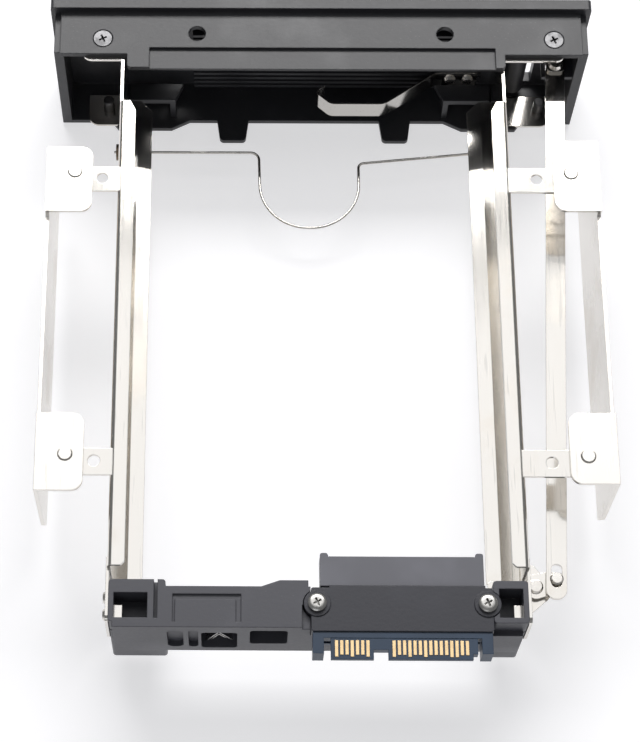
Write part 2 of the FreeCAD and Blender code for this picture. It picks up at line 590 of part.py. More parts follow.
def fix_point(sketch, piece, place, corner):
    """Hold a point of the sketch at a corner by two bound distances."""
    for kind, value in (("DistanceX", corner[0]), ("DistanceY", corner[1])):
        index = sketch.addConstraint(
            Sketcher.Constraint(kind, -1, 1, piece, place, float(value)))
        bind(sketch, f"Constraints[{index}]", value)


def rounded_ends(before, corner, after, radius):
    """Where an arc leaves the straight runs on both sides of a corner."""
    point = FreeCAD.Vector(float(corner[0]), float(corner[1]), 0)
    to_before = FreeCAD.Vector(float(before[0]), float(before[1]), 0) - point
    to_after = FreeCAD.Vector(float(after[0]), float(after[1]), 0) - point
    to_before.normalize()
    to_after.normalize()
    half = to_before.getAngle(to_after) / 2
    setback = radius / math.tan(half)
    middle = to_before + to_after
    middle.normalize()
    centre = point + middle * (radius / math.sin(half))
    return point + to_before * setback, point + to_after * setback, centre


def draw_path(sketch, corners, closed):
    """Draw straight runs through the corners; a corner's third value rounds it."""
    count = len(corners)
    starts = {}
    ends = {}
    arcs = {}
    for i in range(count):
        corner = corners[i]
        point = FreeCAD.Vector(float(corner[0]), float(corner[1]), 0)
        inside = closed or 0 < i < count - 1
        if len(corner) == 3 and inside:
            before, after, centre = rounded_ends(
                corners[i - 1], corner, corners[(i + 1) % count], float(corner[2]))
            ends[i] = before
            starts[i] = after
            arcs[i] = centre
        else:
            ends[i] = point
            starts[i] = point
    lines = {}
    for i in range(count if closed else count - 1):
        lines[i] = sketch.addGeometry(Part.LineSegment(starts[i], ends[(i + 1) % count]), False)
    for i in range(count):
        previous = lines.get((i - 1) % count) if closed or i > 0 else None
        following = lines.get(i) if closed or i < count - 1 else None
        if i in arcs:
            add_corner_arc(sketch, corners[i], (ends[i], starts[i], arcs[i]), previous, following)
        elif following is None:
            fix_point(sketch, previous, 2, corners[i])
        else:
            fix_point(sketch, following, 1, corners[i])
            if previous is not None:
                sketch.addConstraint(Sketcher.Constraint("Coincident", previous, 2, following, 1))


def add_corner_arc(sketch, corner, places, previous, following):
    """Round one corner with an arc that is tangent to the runs on both sides."""
    before, after, centre = places
    radius = float(corner[2])
    circle = Part.Circle(centre, FreeCAD.Vector(0, 0, 1), radius)
    turn = (before - centre).cross(after - centre).z
    first, last = (before, after) if turn > 0 else (after, before)
    start_angle = math.atan2(first.y - centre.y, first.x - centre.x)
    end_angle = math.atan2(last.y - centre.y, last.x - centre.x)
    arc = sketch.addGeometry(Part.ArcOfCircle(circle, start_angle, end_angle), False)
    point = FreeCAD.Vector(float(corner[0]), float(corner[1]), 0)
    mark = sketch.addGeometry(Part.Point(point), True)
    sketch.addConstraint(Sketcher.Constraint("PointOnObject", mark, 1, previous))
    sketch.addConstraint(Sketcher.Constraint("PointOnObject", mark, 1, following))
    fix_point(sketch, mark, 1, corner)
    before_end, after_end = (1, 2) if turn > 0 else (2, 1)
    sketch.addConstraint(Sketcher.Constraint("Tangent", previous, 2, arc, before_end))
    sketch.addConstraint(Sketcher.Constraint("Tangent", following, 1, arc, after_end))
    index = sketch.addConstraint(Sketcher.Constraint("Radius", arc, radius))
    bind(sketch, f"Constraints[{index}]", corner[2])


def draw_circle(sketch, x, y, radius):
    centre = FreeCAD.Vector(float(x), float(y), 0)
    circle = sketch.addGeometry(
        Part.Circle(centre, FreeCAD.Vector(0, 0, 1), float(radius)), False)
    fix_point(sketch, circle, 3, (x, y))
    index = sketch.addConstraint(Sketcher.Constraint("Radius", circle, float(radius)))
    bind(sketch, f"Constraints[{index}]", radius)


def draw_shapes(sketch, shapes):
    """Draw closed outlines, given as lists of corners, and circles, given as tuples."""
    for shape in shapes:
        if isinstance(shape, tuple):
            draw_circle(sketch, *shape)
        else:
            draw_path(sketch, shape, True)


def box_outline(left, right, low, high):
    return [(left, low), (right, low), (right, high), (left, high)]


def round_box(left, right, low, high, radius):
    return [(left, low, radius), (right, low, radius),
            (right, high, radius), (left, high, radius)]


def feature_on(body, kind, role, offset, shapes, length):
    sketch = sketch_on(body, role, offset)
    draw_shapes(sketch, shapes)
    feature = body.newObject("PartDesign::" + kind, body.Label + "_" + kind)
    feature.Profile = sketch
    feature.Length = float(length)
    bind(feature, "Length", length)
    return feature


# The planes' normals are +Z, -Y and +X: a pad follows its normal and a pocket runs against it.

def pad_z(body, shapes, low, high):
    return feature_on(body, "Pad", "XY_Plane", low, shapes, high - low)


def pad_y(body, shapes, near, far):
    return feature_on(body, "Pad", "XZ_Plane", -far, shapes, far - near)


def pad_x(body, shapes, left, right):
    return feature_on(body, "Pad", "YZ_Plane", left, shapes, right - left)


def cut_z(body, shapes, low, high):
    return feature_on(body, "Pocket", "XY_Plane", high, shapes, high - low)


def cut_y(body, shapes, near, far):
    return feature_on(body, "Pocket", "XZ_Plane", -near, shapes, far - near)


def cut_x(body, shapes, left, right):
    return feature_on(body, "Pocket", "YZ_Plane", right, shapes, right - left)


def pattern(body, feature, axis_role, pitch, count):
    """Repeat a feature along one of the body's own axes."""
    copies = body.newObject("PartDesign::LinearPattern", body.Label + "_pattern")
    axis = [item for item in body.Origin.OriginFeatures if item.Role == axis_role][0]
    copies.Originals = [feature]
    copies.Direction = (axis, [""])
    copies.Length = float(pitch) * (int(float(count)) - 1)
    copies.Occurrences = int(float(count))
    bind(copies, "Length", pitch * (count - 1))
    bind(copies, "Occurrences", count)
    body.Tip = copies
    return copies


def sweep(body, spine_role, spine_offset, corners, profile_role, profile_offset, shapes):
    """Sweep a profile along an open path with rounded corners."""
    spine = sketch_on(body, spine_role, spine_offset)
    draw_path(spine, corners, False)
    profile = sketch_on(body, profile_role, profile_offset)
    draw_shapes(profile, shapes)
    pipe = body.newObject("PartDesign::AdditivePipe", body.Label + "_sweep")
    pipe.Profile = profile
    pipe.Spine = spine
    return pipe


def turned(label, x, y, z, axis, steps):
    """A turned piece: stacked (length, radius at the start, radius at the end) along an axis."""
    pieces = []
    along = as_size(0)
    for length, first, last in steps:
        if float(first) == float(last):
            piece = document.addObject("Part::Cylinder", label + "_step")
            bind(piece, "Radius", first)
        else:
            piece = document.addObject("Part::Cone", label + "_step")
            bind(piece, "Radius1", first)
            bind(piece, "Radius2", last)
        bind(piece, "Height", length)
        piece.Placement = FreeCAD.Placement(
            FreeCAD.Vector(), FreeCAD.Rotation(FreeCAD.Vector(0, 0, 1), FreeCAD.Vector(*axis)))
        bind(piece, "Placement.Base.x", x + axis[0] * along)
        bind(piece, "Placement.Base.y", y + axis[1] * along)
        bind(piece, "Placement.Base.z", z + axis[2] * along)
        pieces.append(piece)
        along = along + length
    if len(pieces) == 1:
        return pieces[0]
    fuse = document.addObject("Part::MultiFuse", label + "_turned")
    fuse.Shapes = pieces
    return fuse


def group(label, items):
    """Several separate solids of one kind under one label."""
    if len(items) == 1:
        items[0].Label = label
        return items[0]
    bundle = document.addObject("Part::Compound", label)
    bundle.Label = label
    bundle.Links = items
    return bundle


def drill(body_item, cutter, label):
    """Cut one object out of another."""
    result = document.addObject("Part::Cut", label)
    result.Label = label
    result.Base = body_item
    result.Tool = cutter
    return result


def block(label, x, y, z):
    """A plain box between pairs of limits."""
    piece = document.addObject("Part::Box", label + "_box")
    for name, (low, high) in (("x", x), ("y", y), ("z", z)):
        bind(piece, "Placement.Base." + name, low)
        bind(piece, {"x": "Length", "y": "Width", "z": "Height"}[name], high - low)
    return piece


# ---------------------------------------------------------------------------
# Bezel
# ---------------------------------------------------------------------------

def rail_screw_places():
    return [(RIGHT, screw_right), (LEFT, -screw_left)]


def make_bezel_frame():
    """Front plate with a shallow housing behind it, open to the back."""
    body = new_body("bezel_frame")
    half = plate_width / 2
    pad_y(body, [round_box(-half, half, as_size(0), plate_height, plate_corner)], front, back)
    roof_end = back + roof_reach
    visor_end = back + visor_reach
    roof_outline = [(-roof_half, back - overlap), (roof_half, back - overlap), (roof_half, roof_end),
                    (visor_right, roof_end), (visor_right, visor_end, 1.0),
                    (-visor_left, visor_end, 1.0), (-visor_left, roof_end), (-roof_half, roof_end)]
    pad_z(body, [roof_outline], roof_under, roof)
    for side in (RIGHT, LEFT):
        outer = side * side_half
        inner = side * side_inner
        wall = box_outline(lower(inner, outer), higher(inner, outer), floor, roof_under + wall_rise)
        pad_y(body, [wall], back - overlap, back + side_reach)
    lip_end = back + lip_reach
    floor_end = back + side_reach
    floor_outline = [(-side_half, back - overlap), (side_half, back - overlap), (side_half, floor_end),
                     (side_half - lip_cut, floor_end), (side_half - lip_cut - lip_lead, lip_end),
                     (lip_inner, lip_end),
                     (lip_inner - lip_ramp, floor_end), (lip_ramp - lip_inner, floor_end),
                     (-lip_inner, lip_end), (lip_cut + lip_lead - side_half, lip_end),
                     (lip_cut - side_half, floor_end), (-side_half, floor_end)]
    pad_z(body, [floor_outline], floor, floor_top)
    for middle in (finger_right, -finger_left):
        finger = [(middle - finger_width / 2, floor_end - 1), (middle + finger_width / 2, floor_end - 1),
                  (middle + finger_tip / 2, back + finger_reach, finger_round),
                  (middle - finger_tip / 2, back + finger_reach, finger_round)]
        pad_z(body, [finger], floor, floor_top)
    # shelves that lead the drive onto the rails
    for side in (RIGHT, LEFT):
        wide = web_inner(side) - side * shelf_gap
        narrow = web_inner(side) - side * shelf_reach
        tip = narrow + side * shelf_taper
        near = back + shelf_front
        far = back + lower_front - shelf_end_gap
        shelf = [(wide, near), (narrow, near), (tip, far), (wide, far)]
        shelf_face = shelf_top - shelf_drop
        pad_z(body, [shelf], shelf_face - shelf_plate, shelf_face)
        rib = box_outline(lower(tip, tip + side * housing_wall),
                          higher(tip, tip + side * housing_wall), near, far)
        pad_z(body, [rib], floor_top - 0.2, shelf_face - shelf_plate + 0.2)
    # ledge that the link's front end slides on
    ledge_top = link_low - ledge_gap
    ledge = box_outline(overlap - side_half, -hinge_left - ledge_inset, back + ledge_front,
                        back + side_reach - ledge_short)
    pad_z(body, [ledge], ledge_top - ledge_thick, ledge_top)
    opening = round_box(-opening_left, opening_right, sill_height, roof_under, opening_round)
    cut_y(body, [opening], front - 1, back + 0.01)
    band = box_outline(-visor_left + band_left, visor_right - band_right,
                       back + band_reach, visor_end + 1)
    cut_z(body, [band], roof - band_depth, roof + 1)
    holes = [(side * roof_hole_half, back + roof_hole_back, roof_hole / 2)
             for side in (RIGHT, LEFT)]
    cut_z(body, holes, roof_under - 1, roof + 1)
    screw_holes = [(x, back + screw_back, rail_screw / 2 + screw_play) for side, x in rail_screw_places()]
    cut_z(body, screw_holes, floor - 1, roof + 1)
    pin_hole = (-hinge_left, hinge_back, pin_radius + pin_seat)
    cut_z(body, [pin_hole], floor + pin_skin, roof - pin_skin)
    cutters = []
    for side, x in rail_screw_places():
        for z, way in ((roof, -1), (floor, 1)):
            head = rail_screw_head / 2
            steps = [(head - rail_screw / 2, head + screw_play, rail_screw / 2 + screw_play)]
            cutters.append(turned("countersink", x, back + screw_back, z, (0, 0, way), steps))
    body.Label = "bezel_blank"
    return drill(body, group("countersinks", cutters), "bezel_frame")


def make_rail_screws():
    """Countersunk screws through the housing roof and floor into the rails' ears."""
    screws = []
    head = rail_screw_head / 2
    shank = rail_screw / 2
    for side, x in rail_screw_places():
        for z, way in ((roof, -1), (floor, 1)):
            steps = [(head - shank, head, shank), (rail_screw_length - head + shank, shank, shank)]
            screws.append(turned("rail_screw", x, back + screw_back, z, (0, 0, way), steps))
    return group("rail_screws", screws)


# ---------------------------------------------------------------------------
# Rails
# ---------------------------------------------------------------------------

def rail_outline(side):
    """The web of a rail seen from the side."""
    return [(back + rail_front, floor_top), (back + neck_end - neck_before, floor_top, sheet_round),
            (back + neck_end + neck_after, shelf_under),
            (back + lower_end + tail_run, shelf_under, sheet_round),
            (back + rail_end, strap_low), (back + rail_end, rail_top - bend_radius),
            (back + neck_end, rail_top - bend_radius), (back + neck_end, roof_under),
            (back + rail_front, roof_under)]


def make_rail(side, label):
    """Sheet metal channel with ears for the housing, tabs for a side plate and a rear strap."""
    body = new_body(label)
    inner = web_inner(side)
    outer = web_outer(side)
    pad_x(body, [rail_outline(side)], lower(inner, outer), higher(inner, outer))
    # flange over the connector side of the drive
    reach = outer - side * upper_flange
    bent = outer - side * bend_radius
    upper = [(bent + side * sheet_bite, back + neck_end), (reach + side * 1.5, back + neck_end),
             (reach, back + neck_end + lead_in), (reach, back + rail_end - 1),
             (reach + side * 1.0, back + rail_end), (bent + side * sheet_bite, back + rail_end)]
    pad_z(body, [upper], rail_under, rail_top)
    bend_low = rail_top - bend_radius - sheet_bite
    bend = [(outer, bend_low), (outer, rail_top, bend_radius - 0.01), (bent, rail_top),
            (bent, rail_under), (inner, rail_under), (inner, bend_low)]
    pad_y(body, [bend], back + neck_end, back + rail_end)
    # flange under the cover side, its free half folded down a little
    fold = outer - side * lower_flange / 2
    tip = outer - side * lower_flange
    section = [(inner + side * sheet_bite, shelf_under), (inner + side * sheet_bite, shelf_top),
               (fold, shelf_top), (tip, shelf_top - fold_drop),
               (tip, shelf_under - fold_drop), (fold, shelf_under)]
    pad_y(body, [section], back + lower_front, back + lower_end)
    for y, way in ((back + lower_front, 1), (back + lower_end, -1)):
        corner = [(tip - side * 1, y - way * 1), (fold + side * 0.4, y - way * 1),
                  (tip, y + way * lead_in), (tip - side * 1, y + way * lead_in)]
        cut_z(body, [corner], shelf_under - 3, shelf_top + 1)
    # ears against the housing roof and floor
    ear_outer = side * (ear_right if side == RIGHT else ear_left)
    ear = [(inner + side * sheet_bite, back + rail_front), (ear_outer, back + rail_front),
           (ear_outer, back + ear_end, ear_corner), (inner + side * sheet_bite, back + ear_end)]
    pad_z(body, [ear], roof_under - sheet_thick, roof_under)
    pad_z(body, [ear], floor_top, floor_top + sheet_thick)
    # tabs that reach under the side plate's flanges
    tab_outer = side * (bay_width / 2 - rivet_inset + tab_end)
    for y in (back + rivet_front, back + rivet_rear):
        centre = y + tab_shift
        tab = [(inner + side * sheet_bite, centre - tab_width / 2), (tab_outer, centre - tab_width / 2, 1.0),
               (tab_outer, centre + tab_width / 2, 1.0), (inner + side * sheet_bite, centre + tab_width / 2)]
        pad_z(body, [tab], rail_under, rail_top)
        hole_x = outer + side * (tab_hole_right if side == RIGHT else tab_hole_left)
        cut_z(body, [(hole_x, y + tab_hole_shift, tab_hole / 2)], rail_under - 1, rail_top + 1)
        rivet_x = side * (bay_width / 2 - rivet_inset)
        cut_z(body, [(rivet_x, y, rivet_hole / 2)], rail_under - 1, rail_top + 1)
    # strap that wraps the end of the crossbar, with a bent-in tongue
    strap = bar_end(side)
    strap_near = back + rail_end - strap_start
    strap_outline = [(strap_near, strap_low), (back + strap_rear, strap_low, sheet_round),
                     (back + strap_rear, strap_high, sheet_round), (strap_near, strap_high)]
    pad_x(body, [strap_outline], lower(strap, strap + side * sheet_thick),
          higher(strap, strap + side * sheet_thick))
    tongue_tip = strap - side * tongue_bend
    first, last = tongue_limits(side)
    tongue = box_outline(lower(strap + side * 0.2, tongue_tip), higher(strap + side * 0.2, tongue_tip),
                         first, last)
    pad_z(body, [tongue], bar_top - tongue_drop - sheet_thick, bar_top - tongue_drop)
    # holes: ears for the screws, web for the wire bail
    screw_x = screw_right if side == RIGHT else -screw_left
    for z in (floor_top, roof_under - sheet_thick):
        hole = (screw_x, back + screw_back, rail_screw / 2 + screw_play)
        cut_z(body, [hole], z - 0.1, z + sheet_thick + 0.1)
    cut_x(body, [(back + wire_back, wire_height, bushing_radius - 0.8)],
          lower(inner, outer) - 0.2, higher(inner, outer) + 0.2)
    if side == LEFT:
        add_lever_bracket(body)
    return body


def add_lever_bracket(body):
    """A tab bent out of the left web carries the lever's pivot and leaves a window behind."""
    top = lever_low - lever_gap
    inner = web_inner(LEFT)
    outer = web_outer(LEFT)
    strap_face = bar_end(LEFT) - sheet_thick
    middle = back + lever_back
    window = box_outline(middle - lever_window_front, middle + lever_window_back,
                         top, link_low + link_thick)
    cut_x(body, [window], lower(outer, strap_face) - 0.2, inner + 0.2)
    wide = outer - bracket_reach
    shoulder = middle - bracket_front + 1.0
    bracket = [(outer + 0.3, middle - bracket_front), (outer - bracket_step, shoulder, 1.0),
               (wide - 0.2, middle - 1.0, 2.0), (wide, middle + bracket_tip, 2.0),
               (outer + 0.3, middle + bracket_back)]
    pad_z(body, [bracket], top - sheet_thick, top)
    cut_z(body, [(-lever_left, middle, pivot_radius + pin_seat)], top - sheet_thick - 0.2, top + 0.2)


# ---------------------------------------------------------------------------
# Side plates
# ---------------------------------------------------------------------------

def flange_spans(side):
    """Front and rear flange as (front edge, rear edge); one plate is the other turned round."""
    near = back + rivet_front
    far = back + rivet_rear
    if side == RIGHT:
        return [(near - short_outer, near + short_inner), (far - long_inner, far + long_outer)]
    return [(near - long_outer, near + long_inner), (far - short_inner, far + short_outer)]


def make_side_plate(side, label):
    """Flat plate with two flanges riveted onto the rail's tabs and tapped bay holes."""
    body = new_body(label)
    outer = side * bay_width / 2
    inner = outer - side * plate_sheet
    top = rail_top + plate_sheet
    near, far = flange_spans(side)
    outline = [(near[0] + 1.5, side_low), (far[1] - 2.0, side_low), (far[1], side_low + 6), (far[1], top),
               (far[0], top), (far[0], top - side_dip, 0.8), (near[1], top - side_dip, 0.8),
               (near[1], top), (near[0], top), (near[0], side_low + 6)]
    pad_x(body, [outline], lower(inner, outer), higher(inner, outer))
    edge = outer - side * flange_width
    for first, last in (near, far):
        flange = [(inner + side * sheet_bite, first), (edge, first, flange_corner),
                  (edge, last, flange_corner), (inner + side * sheet_bite, last)]
        pad_z(body, [flange], rail_top, top)
    rivets = [(side * (bay_width / 2 - rivet_inset), back + y, rivet_hole / 2)
              for y in (rivet_front, rivet_rear)]
    cut_z(body, rivets, rail_top - 0.5, top + 0.5)
    holes = []
    for y in (front + bay_front, front + bay_front + bay_pitch):
        for z in (plate_height - bay_high, plate_height - bay_high - bay_drop):
            holes.append((y, z, bay_hole / 2))
    cut_x(body, holes, lower(inner, outer) - 0.5, higher(inner, outer) + 0.5)
    return body


def make_side_rivets():
    rivets = []
    for side in (RIGHT, LEFT):
        for y in (rivet_front, rivet_rear):
            x = side * (bay_width / 2 - rivet_inset)
            base = rail_under - 0.5
            steps = [(as_size(0.5), rivet_hole / 2 + 0.6, rivet_hole / 2 + 0.6),
                     (sheet_thick + plate_sheet, rivet_hole / 2 - 0.02, rivet_hole / 2 - 0.02),
                     (as_size(0.45), rivet_hole / 2 + 0.35, rivet_hole / 2)]
            rivets.append(turned("side_rivet", x, back + y, base, (0, 0, 1), steps))
    return group("side_plate_rivets", rivets)


# ---------------------------------------------------------------------------
# Crossbar
# ---------------------------------------------------------------------------

def window_limits(side):
    """Limits of the window in one end block along X and Y."""
    end = bar_end(side)
    near = end - side * window_wall
    if side == RIGHT:
        far = near - window_right
        return (far, near, back + block_front + window_right_front,
                back + block_back - window_right_back)
    far = near + window_left
    return near, far, back + block_front + window_left_front, back + block_back - window_left_back


def tongue_limits(side):
    """Where a rail's tongue lies along Y, just short of its window's rear wall."""
    far = window_limits(side)[3] - tongue_play
    return far - tongue_width, far


def make_crossbar():
    """Moulded bar between the rails' ends that carries the connector adapter."""
    body = new_body("crossbar")
    right = bar_end(RIGHT)
    left = bar_end(LEFT)
    near = back + bar_front
    far = back + bar_back
    beam_left = adapter_right + cover_gap
    inner_right = right - block_right
    pad_z(body, [box_outline(left + 1, right - 1, near, far)], bar_low, board_low)
    block_near = back + block_front
    block_far = back + block_back
    pad_z(body, [round_box(inner_right, right, block_near, block_far, block_round)], block_low, bar_top)
    pad_z(body, [round_box(left, left + block_left, block_near, block_far, block_round)], block_low, bar_top)
    pad_z(body, [box_outline(beam_left, right - 1, near, far)], board_low - 1, bar_top)
    # wedge rib on the beam's front edge
    ramp = beam_left + wedge_flat + wedge_run
    wedge_front = near - wedge_reach
    wedge = [(inner_right + overlap, near + overlap), (ramp, near + overlap),
             (beam_left + wedge_flat, wedge_front), (beam_left + overlap, wedge_front),
             (beam_left + overlap, near + overlap)]
    pad_z(body, [wedge], bar_top - wedge_height, bar_top)
    # windows for the rails' tongues, and the slits that the tongues pass
    cut_z(body, [box_outline(*window_limits(RIGHT)), box_outline(*window_limits(LEFT))],
          bar_top - window_depth, bar_top + 1)
    for side in (RIGHT, LEFT):
        end = bar_end(side)
        first, last = tongue_limits(side)
        high = bar_top - tongue_drop + tongue_play
        slit = box_outline(first - tongue_play, last, high - sheet_thick - tongue_play * 2, high)
        inside = end - side * (window_wall + overlap)
        cut_x(body, [slit], lower(inside, end + side), higher(inside, end + side))
    # shallow grooves on the beam
    groove_end = right - groove_start
    groove_left = groove_end - groove_length
    groove_near = near + groove_front
    groove_far = far - block_wall
    grooves = [(groove_left, groove_near), (groove_end, groove_near), (groove_end, groove_far),
               (groove_end - groove_line, groove_far),
               (groove_end - groove_line, groove_near + groove_wide),
               (groove_left + groove_wide, groove_near + groove_wide),
               (groove_left + groove_wide, groove_far), (groove_left, groove_far)]
    cut_z(body, [grooves], bar_top - groove_line, bar_top + 1)
    # step at the beam's left end and slot between the right block's ribs
    step = box_outline(beam_left - 1, beam_left + end_step, far - end_step_back, far + 1)
    cut_z(body, [step], bar_top - end_step_depth, bar_top + 1)
    rib_end = right - rib_slot_start
    rib_cut = box_outline(rib_end - rib_slot, rib_end, block_near - 1, block_far - rib_slot_back)
    cut_z(body, [rib_cut], bar_top - rib_slot_depth, bar_top + 1)
    # slots in the back face
    tall_end = right - tall_slot_start
    tall_low = bar_low + tall_slot_low
    high_end = right - high_slot_start
    high_low = bar_low + high_slot_low
    slots = [round_box(tall_end - tall_slot, tall_end, tall_low, tall_low + tall_slot_height, 1.0),
             round_box(high_end - high_slot, high_end, high_low, high_low + high_slot_height, 1.0)]
    cut_y(body, slots, far - slot_depth, far + 1)
    flutes = []
    for width, start in ((flute_wide, flute_wide_start), (flute_fine, flute_fine_start)):
        end = right - start
        low = bar_low + flute_low
        flutes.append(round_box(end - width, end, low, low + flute_height, width * 0.49))
    cut_y(body, flutes, far - flute_depth, far + 1)
    # holes in the back of the right end block
    holes = []
    for width, height, start, low in ((latch_slot, latch_slot_height, latch_slot_start, latch_slot_low),
                                      (peep_width, peep_height, peep_start, peep_low),
                                      (hatch_width, hatch_height, hatch_start, as_size(0) - hatch_sink)):
        end = right - start
        holes.append(box_outline(end - width, end, bar_low + low, bar_low + low + height))
    cut_y(body, holes, block_far - slot_depth + 1, block_far + 1)
    # fine ledges across the backs of the end blocks
    ledge_top = bar_low + ledge_low + ledge_height
    ledges = [box_outline(inner_right - 1, right + 1, bar_low + ledge_low, ledge_top),
              box_outline(left - 1, left + block_left + 1, bar_low + ledge_low, ledge_top)]
    cut_y(body, ledges, block_far - ledge_depth, block_far + 1)
    # hollow underside of the end blocks
    hollows = [box_outline(inner_right + block_wall, right - block_wall,
                           block_near + block_wall, block_far - block_wall),
               box_outline(left + block_wall, left + block_left - block_wall,
                           block_near + block_wall, block_far - block_wall)]
    cut_z(body, hollows, block_low - 1, block_low + block_hollow)
    # screw holes and room for the adapter's bosses
    places = [(boss_right, back + boss_back), (-boss_left, back + boss_back)]
    cut_z(body, [(x, y, adapter_screw + 0.05) for x, y in places], board_low - 8, board_low + 1)
    for x, y in places:
        cut_z(body, [(x, y, boss_radius + boss_play)], board_low, bar_top + 1)
    return body


def make_crossbar_rivets():
    """Short rivets through the rear straps into the crossbar's ends."""
    rivets = []
    last = back + strap_rear - strap_rivet_back
    for side in (RIGHT, LEFT):
        x = bar_end(side) + side * sheet_thick
        steps = [(strap_rivet_height, strap_rivet, strap_rivet - 0.6)]
        for y in (last, last - strap_rivet_pitch):
            rivets.append(turned("strap_rivet", x, y, strap_low + strap_rivet_low, (side, 0, 0), steps))
    return group("strap_rivets", rivets)


# ---------------------------------------------------------------------------
# Connector adapter
# ---------------------------------------------------------------------------

def contact_x(index, power):
    offset = contact_gap if power else as_size(0)
    return -first_contact - (offset + index) * contact_pitch


def boss_places(radius):
    return [(boss_right, back + boss_back, radius), (-boss_left, back + boss_back, radius)]


def make_adapter_cover():
    body = new_body("adapter_cover")
    low = board_low + board_thick
    near = back + adapter_front
    pad_z(body, [round_box(-adapter_left, adapter_right, near, back + adapter_back, 0.6)], low, bar_top)
    pad_z(body, boss_places(boss_radius), low, bar_top + boss_rise)
    brow = box_outline(-adapter_left + brow_left, adapter_right - brow_right, near - brow_reach, near + 1)
    pad_z(body, [brow], low + brow_lift, bar_top)
    cut_z(body, boss_places(adapter_screw_hole), low - 1, bar_top + 1)
    return body


def make_adapter_board():
    body = new_body("adapter_board")
    outline = box_outline(-adapter_left + board_inset, adapter_right - board_inset,
                          back + adapter_front + board_inset, back + adapter_back)
    pad_z(body, [outline], board_low, board_low + board_thick)
    cut_z(body, boss_places(adapter_screw_hole), board_low - 1, board_low + board_thick + 1)
    return body


def make_adapter_screws():
    screws = []
    for x in (boss_right, -boss_left):
        base = bar_top + boss_rise
        steps = [(adapter_screw_rise, adapter_screw_head, adapter_screw_head - 0.4)]
        head = turned("adapter_screw_head", x, back + boss_back, base, (0, 0, 1), steps)
        shank = turned("adapter_screw_shank", x, back + boss_back, base, (0, 0, -1),
                       [(adapter_screw_length, adapter_screw, adapter_screw)])
        screw = document.addObject("Part::MultiFuse", "adapter_screw")
        screw.Shapes = [head, shank]
        screws.append(screw)
    return group("adapter_screws", screws)


def make_drive_socket():
    """Receptacle that faces the drive, with two guide posts."""
    body = new_body("drive_socket")
    left = -socket_left
    right = -socket_right
    near = back + socket_front
    far = back + adapter_front - socket_gap
    tip = back + post_reach
    pad_z(body, [box_outline(left, right, near, far)], socket_low, socket_top)
    posts = []
    for edge, way in ((left, -1), (right, 1)):
        outer = edge + way * (post_width + 0.4)
        posts.append([(outer, far), (outer, tip, 0.6), (outer - way * post_width, tip, 0.6),
                      (edge - way * 0.6, near + 2), (edge - way * 0.6, far)])
    pad_z(body, posts, socket_low, socket_top)
    mouths = [contact_mouth(False, signal_count), contact_mouth(True, power_count)]
    cut_y(body, mouths, near - 1, near + mouth_depth)
    return body


def contact_row(power, count):
    """Limits along X of one row of contacts, with the margin past its outer contacts."""
    first = contact_x(0, power) + tongue_margin
    last = contact_x(count - 1, power) - tongue_margin
    return last, first


def contact_mouth(power, count):
    """Mouth of the socket round one row of contacts."""
    middle = (socket_low + socket_top) / 2
    return box_outline(*contact_row(power, count), middle - mouth_half, middle + mouth_half)


def make_plug_housing():
    """Plug at the back for the cable, two tongues between ears."""
    body = new_body("plug_housing")
    low = board_low - plug_drop
    high = tongue_top + plug_rise
    near = back + adapter_back
    root = back + tongue_front
    left = -plug_left
    right = -plug_right
    pad_z(body, [box_outline(left, right, near, root)], low, high)
    ear_tip = back + plug_reach - ear_short
    ears = [box_outline(right - plug_ear, right, near, ear_tip),
            box_outline(left, left + plug_ear, near, ear_tip)]
    pad_z(body, ears, low, high)
    tongue_end = back + plug_reach
    signal_last, signal_first = contact_row(False, signal_count)
    power_last, power_first = contact_row(True, power_count)
    tongues = [box_outline(signal_last, signal_first, root - 1, tongue_end),
               box_outline(power_last, power_first, root - 1, tongue_end)]
    pad_z(body, tongues, tongue_top - tongue_thick, tongue_top)
    key = box_outline(power_last - key_width, power_last + 0.2, root - 1, tongue_end - key_short)
    bridge = box_outline(power_first - 0.2, signal_last + 0.2, root - 1, tongue_end - bridge_short)
    pad_z(body, [key], tongue_top - key_depth, tongue_top)
    pad_z(body, [bridge], tongue_top - key_depth, tongue_top)
    # channel under the tongues, open to the cable side
    channel = box_outline(left + plug_ear + 0.1, right - plug_ear - 0.1,
                          tongue_top - channel_low, tongue_top - channel_high)
    cut_y(body, [channel], root - 0.8, back + plug_reach + 1)
    return body


def make_contacts(label, power, count):
    """A row of flat contacts on one tongue of the plug."""
    contacts = []
    for index in range(count):
        x = contact_x(index, power)
        reach = contact_long if index in long_contacts else contact_short
        contacts.append(block(label, (x - contact_width / 2, x + contact_width / 2),
                              (back + tongue_front + contact_start, back + plug_reach - reach),
                              (tongue_top, tongue_top + contact_rise)))
    return group(label, contacts)


# ---------------------------------------------------------------------------
# Door, latch and leaf spring
# ---------------------------------------------------------------------------

